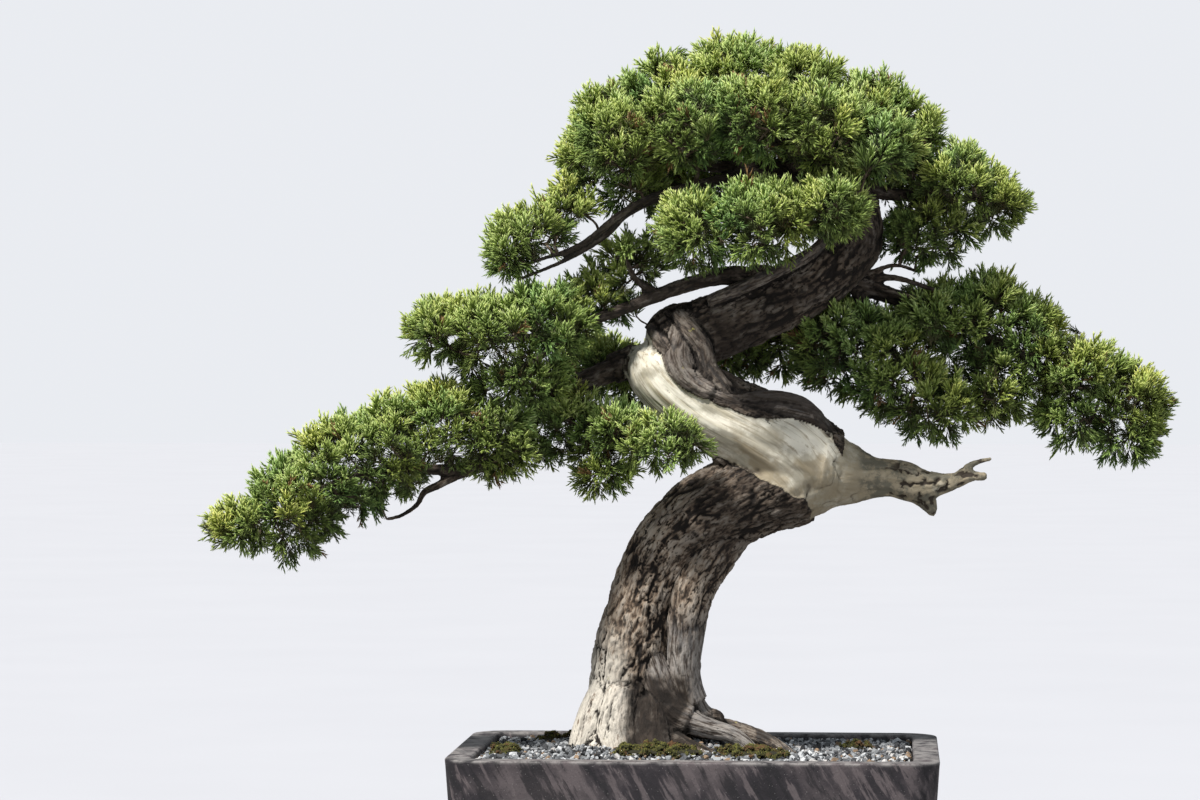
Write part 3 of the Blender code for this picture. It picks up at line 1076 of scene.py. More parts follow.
def line_side(x: Array, z: Array, line: Sequence[tuple[float, float]]) -> Array:
    """How far each point is from a line on the front view, positive to the line's left.

    Args:
        x: Places to the right.
        z: Heights.
        line: The line's points in order.

    Returns:
        The signed distances in millimetres.
    """
    points = np.column_stack((x, z))
    best = np.full(len(points), np.inf)
    signed = np.zeros(len(points))
    for start, end in zip(np.array(line, float), np.array(line[1:], float)):
        run = end - start
        t = np.clip((points - start) @ run / (run @ run), 0.0, 1.0)
        distance = np.linalg.norm(points - (start + t[:, None] * run), axis=1)
        cross = run[0] * (points[:, 1] - start[1]) - run[1] * (points[:, 0] - start[0])
        closer = distance < best
        best[closer] = distance[closer]
        signed[closer] = (np.sign(cross) * distance)[closer]
    return signed


# ---------------------------------------------------------------- the wood


@dataclass
class Wood:
    """The roots, the trunk with its deadwood, and the branches."""

    voxel: float = 1.5
    bark_thickness: float = 3.0
    rounding: int = 5
    base_top: float = 300.0
    crown_base: float = 600.0
    left_edge: float = -50.0
    right_edge: float = 170.0

    trunk_limbs: ClassVar[dict[str, Limb]] = {
        "trunk": Limb((
            (-62, 9, 96, 44), (-62, 6, 123, 41), (-59, 4, 160, 35), (-56, 2, 199, 33),
            (-47.5, 0, 238, 30), (-30.5, 0, 282, 31), (3, 0, 317, 35), (54, 3, 343, 38), (92, 6, 362, 42),
            (54, -3, 388, 38), (4, -5, 416, 34), (-34, -3, 444, 29), (-38, 2, 462, 21))),
        "ridge": Limb((
            (44, 2, 322, 14), (15, -12, 288, 18), (-3, -18, 256, 17), (-9, -18, 222, 15),
            (-10.5, -17, 186, 12.5), (-3, -13, 158, 12), (12, -8, 138, 12)), 0.35, 0.85),
        "back": Limb((
            (20, 12, 310, 26), (-12, 18, 270, 28), (-28, 20, 220, 29), (-32, 20, 170, 31),
            (-36, 22, 120, 34), (-38, 24, 92, 34)), 0.25, 0.0, "trunk"),
        "winding_root": Limb((
            (-57, -4, 240, 7), (-50, -9, 220, 10), (-43, -13, 202, 12), (-37, -16, 186, 13),
            (-32, -19, 171, 14), (-26, -21, 158, 14), (-14, -24, 147, 13), (6, -28, 140, 11),
            (33, -30, 132, 8.5), (50, -31, 118, 7)), 0.3, 0.9),
        "front_foot_left": Limb((
            (-62, -20, 168, 15), (-66, -27, 140, 18), (-62, -36, 112, 20)), 0.1, 0.5),
        "left_foot": Limb(((-76, -7, 172, 15), (-85, -11, 142, 19), (-92, -14, 112, 20)), 0.0, 0.7),
        # front_foot's high tone is dark bark with painted shadow over it, at the front of the trunk's
        # foot.
        "front_foot": Limb(((-40, -22, 160, 13), (-38, -33, 132, 17), (-30, -46, 110, 19)), 0.8, 0.3),
        "right_root": Limb((
            (-18, 0, 138, 16), (8, -2, 137, 12), (34, -4, 134, 10), (60, -8, 126, 8),
            (84, -12, 112, 6)), 0.55, 0.3),
        "right_back_root": Limb(((-4, 20, 136, 14), (22, 30, 126, 10), (50, 42, 110, 8)), 0.4),
        "front_root": Limb(((-28, -30, 128, 13), (0, -52, 121, 10), (30, -62, 108, 8)), 0.7),
        "left_root": Limb(((-80, 4, 130, 18), (-98, 0, 118, 12), (-112, -4, 104, 9)), 0.3),
        "left_front_root": Limb(((-74, -16, 128, 15), (-86, -38, 116, 11), (-94, -54, 104, 8)), 0.4),
        "back_root": Limb(((-46, 40, 128, 18), (-30, 66, 118, 12), (-14, 88, 104, 9)), 0.4),
        "left_back_root": Limb(((-82, 34, 128, 17), (-102, 54, 117, 12), (-116, 70, 104, 9)), 0.4),
        "knob": Limb(((4, -10, 142, 6), (16, -13, 149, 6), (22, -13, 145, 4)), 0.9),
        "snag": Limb((
            (108, 2, 361, 38), (124, 2, 357, 31), (138, 1, 355, 25), (152, 0, 354, 20),
            (170, -1, 353, 18), (188, -3, 348, 17), (204, -6, 348, 13), (222, -8, 351, 8),
            (238, -9, 357, 5.5))),
        "snag_spur": Limb(((190, -4, 343, 13), (199, -5, 332, 9), (203, -5, 322, 4)), grain="snag"),
        "snag_twig": Limb((
            (226, -8, 356, 5), (234, -9, 364, 3.6), (244, -9, 368, 2.8),
            (253, -9, 370, 2.2)), grain="snag"),
        "snag_stub": Limb(((232, -9, 354, 5), (243, -9, 355, 5), (248, -9, 354, 4.5)), grain="snag"),
        "vein": Limb((
            (-14, -12, 476, 14), (-16, -22, 452, 14), (-4, -26, 434, 13), (20, -27, 421, 11.5),
            (46, -26, 414, 9.5), (74, -24, 413, 9), (98, -18, 407, 8.5), (112, -10, 394, 7.5),
            (120, 0, 378, 6)), 0.62, 0.55),
        "shoulder": Limb((
            (-36, -8, 446, 17), (-8, -18, 424, 17), (34, -25, 402, 16), (78, -25, 386, 17),
            (106, -12, 372, 16), (126, -6, 360, 12))),
        "lens": Limb((
            (34, -30, 421, 3.5), (52, -33, 425, 4.5), (72, -32, 425, 4.5), (92, -27, 420, 4),
            (107, -18, 408, 3.5)), 0.45, 0.9, "vein"),
    }
    # The upper trunk, folds and crown limbs have high tone: dark bark, made darker still as painted shade
    # under the crown.
    crown_limbs: ClassVar[dict[str, Limb]] = {
        "upper_trunk": Limb((
            (-26, -2, 440, 20), (-24, 2, 460, 26), (-16, 4, 474, 27), (6, 5, 480, 27), (41, 6, 494, 26),
            (80, 8, 512, 25), (113, 8, 533, 24), (136, 6, 561, 22), (132, 2, 596, 18), (104, 0, 622, 13),
            (62, 0, 650, 9), (36, 0, 676, 6), (22, -2, 698, 3)), 0.85),
        "outer_fold": Limb((
            (-40, -4, 484, 7), (-32, -14, 474, 9), (-20, -22, 460, 10), (-8, -27, 444, 9),
            (10, -29, 428, 8)), 0.7, 0.3),
        "middle_fold": Limb((
            (-18, -10, 494, 9), (-6, -20, 480, 10), (6, -24, 464, 10), (12, -26, 446, 9),
            (26, -27, 430, 8)), 0.7, 0.3),
        "ridge_fold": Limb((
            (10, -16, 506, 6), (40, -20, 518, 7), (74, -17, 534, 7), (104, -14, 552, 6),
            (122, -10, 580, 5)), 0.6, 0.4, "upper_trunk"),
        "crown_left": Limb((
            (110, 0, 618, 10), (60, -4, 620, 7.5), (0, -8, 624, 6), (-50, -6, 636, 4.5),
            (-84, -4, 652, 3)), 1.0),
        "crown_leader": Limb(((104, 0, 622, 10), (90, 2, 652, 7), (84, 4, 684, 3.5)), 1.0),
        "crown_right": Limb((
            (122, 2, 612, 11), (160, 10, 600, 7.5), (205, 18, 596, 5), (252, 24, 594, 3)), 1.0),
        "crown_right_upper": Limb(((118, 2, 618, 8), (142, 6, 636, 5), (160, 8, 662, 3)), 1.0),
        "crown_front": Limb((
            (120, -4, 604, 11), (92, -38, 592, 7), (45, -68, 584, 5), (8, -80, 576, 3)), 1.0),
        "crown_front_right": Limb(((98, -34, 592, 6), (112, -60, 588, 4.5), (124, -84, 584, 3)), 1.0),
        "crown_front_upper": Limb(((100, -2, 624, 7), (84, -30, 640, 5), (64, -60, 654, 3)), 1.0),
        "crown_back": Limb(((120, 4, 606, 11), (95, 50, 612, 8), (50, 90, 618, 5), (4, 98, 620, 3)), 1.0),
        "crown_back_right": Limb(((92, 54, 612, 6), (104, 84, 612, 4.5), (112, 108, 606, 3)), 1.0),
        "crown_back_upper": Limb(((98, 2, 626, 7), (78, 34, 646, 5), (52, 66, 656, 3)), 1.0),
        "strand": Limb((
            (60, -6, 618, 7), (16, -18, 610, 5), (-10, -26, 603, 4.5), (-40, -31, 594, 4.2),
            (-68, -36, 578, 3.6), (-100, -42, 553, 3), (-142, -49, 538, 2.4)), 0.95, 0.3),
        "lower_strand": Limb((
            (14, -18, 606, 4), (-24, -24, 597, 3.4), (-58, -32, 580, 3), (-76, -36, 562, 2.8),
            (-106, -42, 543, 2.5), (-150, -50, 524, 2.2)), 0.95, 0.3),
        "middle_left": Limb((
            (60, 2, 522, 14), (28, -5, 528, 10), (-8, -15, 520, 8), (-40, -24, 508, 7),
            (-73, -32, 495, 6), (-130, -46, 476, 4.6), (-200, -60, 470, 3)), 0.9, 0.2),
        "middle_left_upper": Limb(((-30, -22, 509, 5), (-52, -28, 524, 3.6), (-60, -32, 542, 2.4)), 0.95),
        "middle_left_lower": Limb((
            (-100, -40, 486, 4.4), (-140, -54, 452, 3.4), (-180, -62, 436, 2.4)), 1.0),
        "low_left": Limb((
            (-30, 10, 458, 17), (-60, 8, 452, 13), (-94, -2, 438, 11), (-120, -12, 425, 10),
            (-138, -22, 410, 9), (-149, -31, 389, 8), (-163, -38, 373, 7), (-190, -50, 363, 6.4),
            (-222, -60, 361, 5.6), (-256, -70, 362, 4.8), (-300, -80, 352, 4),
            (-360, -96, 322, 2.4)), 0.9),
        "low_left_tip": Limb(((-240, -66, 362, 4.4), (-262, -62, 386, 3.2), (-280, -66, 402, 2.2)), 1.0),
        "low_left_upper": Limb((
            (-180, -46, 366, 4.4), (-190, -54, 396, 3.4), (-206, -60, 420, 2.4)), 1.0),
        "bare_twig": Limb((
            (-178, -46, 364, 5.4), (-200, -53, 357, 4.6), (-221, -58, 347, 4.2), (-232, -62, 341, 3.6),
            (-237, -65, 331, 3), (-250, -70, 322, 2.4), (-262, -73, 319, 2)), 0.8),
        "left_inner": Limb((
            (-118, -12, 427, 7), (-96, -32, 402, 5), (-60, -52, 392, 4), (-12, -72, 390, 3)), 1.0),
        "left_inner_low": Limb(((-96, -34, 400, 3.6), (-88, -42, 376, 3), (-80, -44, 362, 2.2)), 1.0),
        "left_back": Limb(((-40, 14, 455, 9), (-60, 44, 448, 6.5), (-96, 60, 448, 3)), 1.0),
        "right": Limb((
            (112, 10, 532, 13), (134, 20, 522, 11), (164, 30, 512, 9), (208, 38, 496, 7.5),
            (262, 46, 468, 6), (318, 54, 438, 4.4), (376, 60, 410, 2.6)), 0.95),
        "right_upper": Limb(((230, 42, 486, 5), (250, 46, 500, 3.6), (264, 48, 512, 2.2)), 1.0),
        "right_inner": Limb((
            (136, 20, 518, 7), (150, 26, 486, 5), (180, 27, 450, 4), (216, 26, 418, 2.6)), 1.0),
        "back_low": Limb((
            (84, 14, 508, 11), (82, 60, 492, 8), (74, 96, 478, 5.5), (26, 108, 466, 3)), 0.9),
        "dead_twig": Limb((
            (150, 22, 526, 4), (172, 20, 526, 3.4), (198, 22, 518, 2.6), (222, 24, 509, 2)), 0.8),
        "dead_twig_upper": Limb(((146, 20, 530, 3.2), (170, 17, 537, 2.5), (192, 19, 531, 2)), 0.8),
        "dead_twig_lower": Limb(((150, 20, 520, 3.4), (176, 14, 512, 2.6), (204, 16, 506, 2)), 0.8),
    }
    flow: ClassVar[tuple[Knot, ...]] = (
        (-44, 0, 470, 30), (-28, -2, 440, 30), (10, -4, 408, 30), (54, -4, 384, 30), (88, -4, 356, 30),
        (100, -2, 322, 30), (102, 0, 290, 30),
    )
    lip: ClassVar[tuple[tuple[float, float], ...]] = (
        (-20, 366), (-6, 366), (18, 371), (38, 363), (58, 350), (80, 341), (94, 335), (99, 322), (98, 300),
    )
    vein_edge: ClassVar[tuple[tuple[float, float], ...]] = (
        (-28, 500), (-27, 483), (-24, 462), (-20, 446), (-4, 430), (16, 418), (46, 407), (66, 404),
        (90, 406), (106, 402), (116, 392), (123, 378), (126, 370), (140, 362),
    )

    def __post_init__(self) -> None:
        """Grows the skin that all the wood is cut from."""
        self.noise = Noise(11)
        self.skin = Skin(self.trunk_limbs | self.crown_limbs, self.voxel, self.rounding)

    def bark_relief(self) -> Pair:
        """Plates and flakes parted by fissures that run along the limbs.

        Returns:
            The height of each point and how deep in a fissure it is, from 0 to 1.
        """
        skin, noise = self.skin, self.noise
        bent = skin.grain + 3.5 * noise.at(skin.points / 24.0)[:, None]
        broad = np.abs(noise.layered(bent / (15.0, 15.0, 60.0), 3))
        plate = np.abs(noise.layered(bent / (5.2, 5.2, 12.5) + 50.0, 3))
        flake = noise.layered(bent / (3.6, 3.6, 8.0) + 90.0, 2)
        open_here = smoothstep(-0.45, 0.25, noise.at(bent / (28.0, 28.0, 50.0) + 7.0))
        crack = np.exp(-((broad / 0.11) ** 2)) * open_here
        seam = np.exp(-((plate / 0.13) ** 2)) * (0.45 + 0.55 * open_here)
        height = 1.9 * np.minimum(broad, 0.7) + 2.5 * np.minimum(plate, 0.50) + 0.6 * flake
        return height - 1.8 * crack - 0.5 * seam - 0.9, np.clip(crack + 0.95 * seam - 0.12, 0.0, 1.0)

    def smooth_relief(self) -> Pair:
        """Long low cords in smooth grey bark.

        Returns:
            The height of each point and how deep in a fissure it is, from 0 to 1.
        """
        skin, noise = self.skin, self.noise
        bent = skin.grain + 3.0 * noise.at(skin.points / 30.0)[:, None]
        cord = noise.layered(bent / (7.5, 7.5, 70.0) + 11.0, 3)
        crack = np.exp(-((noise.at(bent / (8.0, 8.0, 60.0) + 27.0) / 0.05) ** 2))
        return 1.0 * cord - 1.0 * crack, 0.8 * crack

    def deadwood_relief(self) -> Pair:
        """Long soft ridges and a few drying cracks.

        Returns:
            The height of each point and how deep in a crack it is, from 0 to 1.
        """
        skin, noise = self.skin, self.noise
        bent = skin.grain + 6.0 * noise.at(skin.points / 34.0)[:, None]
        ridge = noise.layered(bent / (17.0, 17.0, 110.0) + 20.0, 2)
        line = noise.layered(bent / (4.6, 4.6, 80.0) + 70.0, 2)
        crack = np.exp(-((noise.at(bent / (15.0, 15.0, 130.0) + 33.0) / 0.07) ** 2))
        crack *= smoothstep(0.0, 0.35, noise.at(bent / (30.0, 30.0, 60.0) + 3.0))
        return 1.9 * ridge + 0.6 * line - 1.2 * crack, 0.45 * crack

    def dead_share(self) -> Array:
        """Finds the bleached wood of the turn and its snag, where the bark is gone.

        Returns:
            1 for each point on bleached wood, and 0 on bark.
        """
        skin, noise = self.skin, self.noise
        x, y, z = skin.points.T
        ragged = 2.8 * noise.layered(skin.points / 17.0, 3)
        above_lip = line_side(x, z, self.lip) + ragged
        under_vein = -line_side(x, z, self.vein_edge) + 0.6 * ragged
        front = smoothstep(-1.4, 1.4, np.minimum(above_lip, under_vein))
        front = np.where((z < 372) & (x > 96), smoothstep(-1.4, 1.4, above_lip), front)
        back = np.maximum(smoothstep(104, 112, x + ragged), smoothstep(-32, -40, x + ragged))
        back *= smoothstep(318, 326, z) * smoothstep(484, 474, z)
        behind = smoothstep(14.0, 22.0, y + ragged)
        share = np.where(x > 126, 1.0, front * (1.0 - behind) + back * behind)
        names = np.array(list(skin.limbs))[skin.owner]
        own = np.isin(names, ("trunk", "back", "shoulder")) | np.char.startswith(names, "snag")
        own &= z > self.base_top
        return share * (own | ((x > 112) & (z < 400)))

    def snag_wear(self) -> Array:
        """Finds how far rot has eaten the snag's end.

        Returns:
            One value from 0 to 1 for each point.
        """
        x, _, z = self.skin.points.T
        rot = smoothstep(0.10, 0.42, self.noise.layered(self.skin.points / 7.5 + 5.0, 3))
        return rot * smoothstep(138, 190, x) * (z < 400) * (self.skin.radius < 30)

    def build(self) -> list[Spine]:
        """Builds all the wood.

        Returns:
            The spines of the branches, for the twigs to start from.
        """
        skin, noise = self.skin, self.noise
        dead = self.dead_share()
        turn = (dead > 0.5) & (skin.points[:, 0] < 122 + 6 * noise.at(skin.points / 12.0))
        skin.grain[turn] = Spine(self.flow).grain_at(skin.points[turn])
        bark, bark_crack = self.bark_relief()
        sleek, sleek_crack = self.smooth_relief()
        wood, wood_crack = self.deadwood_relief()
        wear = self.snag_wear()
        girth = np.clip(skin.radius / 22.0, 0.12, 1.0)
        height = skin.points[:, 2]
        skin.smooth *= np.where(height < 340, smoothstep(252, 205, height), 1.0)
        thickness = self.bark_thickness * (skin.radius > 12)
        living = girth * (bark + skin.smooth * (sleek - bark)) + thickness
        edge = np.exp(-(((dead - 0.5) / 0.22) ** 2))
        eaten = 2.6 * wear * np.clip(skin.radius / 8.0 - 0.3, 0.0, 1.0)
        bleached = wood * np.clip(skin.radius / 14.0, 0.3, 1.0) - eaten
        shrunk = 1.6 * np.clip(skin.radius / 10.0, 0.2, 1.0)
        skin.raise_by((1 - dead) * living + dead * bleached - shrunk)
        hollow = skin.hollows(16)
        crack = bark_crack + skin.smooth * (sleek_crack - bark_crack)
        crevice = (1 - dead) * crack * np.clip(girth * 1.5, 0.0, 1.0) + dead * (wood_crack + wear)
        # Hollows add painted shade to crevice, darker the deeper they lie.
        crevice = np.maximum(crevice, 0.8 * edge) + np.clip(hollow * 0.5 - 0.12, 0.0, 0.95)
        x, y, z = skin.points.T
        # painted_arch_shadow: painted cast shadow darkening the top of the arch under the turn and the
        # foliage.
        painted_arch_shadow = 0.55 * smoothstep(255, 325, z) * smoothstep(-30, 2, x) * (skin.tone < 0.6)
        # painted_foot_shadow: painted cast shadow at the front of the trunk's foot, near the soil.
        painted_foot_shadow = smoothstep(-66, -54, x) * smoothstep(0, -14, x) * smoothstep(190, 172, z) * (y < 0)
        painted_foot_shadow *= np.clip(0.9 + noise.at(skin.points / 11.0), 0, 1)
        tone = skin.tone + painted_arch_shadow + painted_foot_shadow + 0.2 * noise.at(skin.points / 26)
        crevice = np.maximum(crevice, 0.55 * painted_foot_shadow)
        skin.smooth *= 1 - painted_foot_shadow
        # weather_and_shade: the deadwood's lower part turns tan as painted shade, and the snag is really
        # weathered.
        weather_and_shade = 0.12 + 0.63 * smoothstep(404, 356, z)
        weather_and_shade = np.maximum(weather_and_shade, smoothstep(112, 150, x))
        tone = tone + dead * (weather_and_shade - tone)
        pale = smoothstep(-52, -74, x) * smoothstep(236, 182, z) * (1.0 + 0.4 * noise.at(skin.points / 15))
        values = {
            "grain": skin.grain * MM, "dead": dead, "crevice": np.clip(crevice, 0, 1),
            "tone": np.clip(tone, 0, 1), "relief": np.clip(0.45 + bark / 3.2, 0, 1),
            "sleek": skin.smooth, "pale": np.clip(pale, 0, 1),
        }
        self.build_pieces(values)
        return [Spine(limb.knots, 5.0) for limb in self.crown_limbs.values()]

    def build_pieces(self, values: dict[str, Array]) -> None:
        """Parts the skin into pieces and dresses them.

        Args:
            values: The attributes that the finish reads.
        """
        material = WoodFinish().material()
        skin = self.skin
        x, _, z = skin.points[skin.faces].mean(axis=1).T
        in_crown = np.array([name in self.crown_limbs for name in skin.limbs])
        crown = in_crown[skin.owner[skin.faces[:, 0]]]
        branch = crown & (z < self.crown_base)
        left, right = x <= self.left_edge, x >= self.right_edge
        parts = {
            "trunk_and_roots": ~crown & (z < self.base_top),
            "turn_and_snag": ~crown & (z >= self.base_top),
            "upper_trunk": branch & ~left & ~right,
            "crown_branches": crown & (z >= self.crown_base),
            "left_branches": branch & left,
            "right_branches": branch & right,
        }
        for name, chosen in parts.items():
            dress(skin.cut(name, chosen, values), material, Slot.WOOD, "tree_wood")
        bpy.data.objects.remove(skin.obj, do_unlink=True)


# ---------------------------------------------------------------- the foliage


def cord_mesh(
    base: Array, tip: Array, girth: float, fresh: tuple[float, float]
) -> Cord:
    """A slim three-sided cord that swells a little and ends in a point.

    Args:
        base: Where it starts.
        tip: Where it ends.
        girth: Its radius.
        fresh: How fresh its base and its tip are, from 0 to 1.

    Returns:
        Its points, its triangles and the freshness of each point.
    """
    run = tip - base
    turn = turns_to(unit(run[None]), np.array([1.0]))[0]
    angles = np.arange(3) * 2 * math.pi / 3
    ring = np.cos(angles)[:, None] * turn[:, 0] + np.sin(angles)[:, None] * turn[:, 1]
    swell = 0.72  # how far along the cord its thickest ring is
    points = np.vstack((base + ring * girth * 0.8, base + run * swell + ring * girth, tip[None]))
    faces = [(2, 1, 0)]
    for i in range(3):
        j = (i + 1) % 3
        faces += [(i, j, j + 3), (i, j + 3, i + 3), (i + 3, j + 3, 6)]
    low, high = fresh
    ages = [low] * 3 + [low + swell * (high - low)] * 3 + [high]
    return points, np.array(faces), np.array(ages)


def spike_mesh(
    base: Array, tip: Array, girth: float, fresh: tuple[float, float]
) -> Cord:
    """The plainest cord: three sides that run to a point.

    Args:
        base: Where it starts.
        tip: Where it ends.
        girth: Its radius at the base.
        fresh: How fresh its base and its tip are, from 0 to 1.

    Returns:
        Its points, its triangles and the freshness of each point.
    """
    points, _, _ = cord_mesh(base, tip, girth, fresh)
    faces = np.array(((2, 1, 0), (0, 1, 3), (1, 2, 3), (2, 0, 3)))
    return points[[0, 1, 2, 6]], faces, np.array([fresh[0]] * 3 + [fresh[1]])


@dataclass(frozen=True)
class Spray:
    """A small narrow spray of scale-leaf cords, growing along +Z."""

    length: float = 21.5
    girth: float = 0.66
    side_cords: int = 7
    spread: float = 0.45
    plain: bool = False

    def variant(self, seed: int) -> tuple[Array, Array, Array, Array]:
        """Makes one spray.

        Args:
            seed: Picks its angles and lengths.

        Returns:
            Its points, triangles, the freshness of each point, and a small shift of hue.
        """
        rng = np.random.default_rng(seed)
        bend = rng.uniform(-0.16, 0.16, 2)
        stem = np.array([(bend[0] * out, bend[1] * out, 0) for out in (0, 4, 12)])
        stem[:, 2] = np.array((0, 0.5, 1.0)) * self.length
        main, minor = (spike_mesh, spike_mesh) if self.plain else (cord_mesh, spike_mesh)
        cords = [
            main(stem[0], stem[1], self.girth * 0.8, (0.05, 0.40)),
            main(stem[1], stem[2], self.girth, (0.40, 1.0)),
        ]
        for i in range(self.side_cords):
            share = 0.10 + 0.74 * (i + rng.uniform(-0.2, 0.2)) / self.side_cords
            start = stem[0] + (stem[2] - stem[0]) * share
            side = 1 if i % 2 else -1
            angle = self.spread * rng.uniform(0.7, 1.3)
            lift = rng.uniform(-1.0, 1.0)
            reach = self.length * rng.uniform(0.42, 0.62) * (1.15 - 0.6 * share)
            slope = math.sin(angle)
            way = np.array((side * slope * math.cos(lift), slope * math.sin(lift), math.cos(angle)))
            fresh = 0.20 + 0.45 * share
            ages = (fresh, rng.uniform(0.85, 1.0))
            cords.append(main(start, start + way * reach, self.girth, ages))
            if share < 0.75 and not self.plain:
                for at in (0.35, 0.6):
                    fork = start + way * reach * at
                    off = unit(way + rng.normal(0, 0.42, 3) + (0, 0, 0.3))
                    tip = fork + off * reach * rng.uniform(0.40, 0.55)
                    cords.append(minor(fork, tip, self.girth * 0.95, (fresh + 0.1, 0.92)))
        starts = np.cumsum([0] + [len(cord[0]) for cord in cords])
        hues = [rng.normal(0, 0.05) + 0.006 * (np.arange(len(cord[0])) % 3 - 1) for cord in cords]
        return (
            np.vstack([cord[0] for cord in cords]),
            np.vstack([cord[1] + start for cord, start in zip(cords, starts)]),
            np.concatenate([cord[2] for cord in cords]),
            np.concatenate(hues),
        )


class PadShape:
    """One foliage pad's outer shape, read from its node in the frame."""

    def __init__(self, node: str) -> None:
        """Reads the node's mesh.

        Args:
            node: The node's name.
        """
        self.node = node
        self.points, self.triangles = mesh_arrays(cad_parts[node].data)
        self.tree = BVHTree.FromPolygons(self.points.tolist(), self.triangles.tolist())
        corners = self.points[self.triangles]
        cross = np.cross(corners[:, 1] - corners[:, 0], corners[:, 2] - corners[:, 0])
        self.areas = np.linalg.norm(cross, axis=1) / 2
        self.normals = unit(cross)

    def scatter(self, count: int, rng: np.random.Generator) -> Pair:
        """Picks points spread evenly over the surface.

        Args:
            count: How many.
            rng: Where the choice comes from.

        Returns:
            The points and the outward direction at each.
        """
        picks = rng.choice(len(self.areas), count, p=self.areas / self.areas.sum())
        a, b = rng.random((2, count, 1))
        flip = a + b > 1
        a, b = np.where(flip, 1 - a, a), np.where(flip, 1 - b, b)
        first, second, third = self.points[self.triangles[picks]].transpose(1, 0, 2)
        return first + a * (second - first) + b * (third - first), self.normals[picks]

    def thickness(self, point: Array, normal: Array) -> float:
        """How far it is from a surface point straight through to the other side."""
        hit = self.tree.ray_cast(Vector(point - normal * 0.5), Vector(-normal))
        return float(hit[3]) if hit[0] is not None else 0.0


def spaced(points: Array, gaps: Array) -> Array:
    """Keeps points in order, and drops each that is closer to a kept one than its gap.

    Args:
        points: The candidates.
        gaps: The least distance that each wants.

    Returns:
        The numbers of those kept.
    """
    kept: list[int] = []
    for i, point in enumerate(points):
        if not kept or np.min(np.linalg.norm(points[kept] - point, axis=1)) > gaps[i]:
            kept.append(i)
    return np.array(kept)


@dataclass
class Tufts:
    """Where tufts of sprays grow, which way, and how vigorous each is from 0 to 1, which also lightens the
    tufts that face up as painted light.
    """

    bases: Array
    axes: Array
    vigour_and_light: Array

    def halves(self, most: int) -> dict[str, "Tufts"]:
        """Parts the tufts into a left and a right half if there are too many for one piece.

        Args:
            most: The most tufts that one piece holds.

        Returns:
            The parts by the ending of their piece's name.
        """
        if len(self.bases) <= most:
            return {"": self}
        right = self.bases[:, 0] > np.median(self.bases[:, 0])
        parts = {"_left": ~right, "_right": right}
        return {k: Tufts(self.bases[v], self.axes[v], self.vigour_and_light[v]) for k, v in parts.items()}


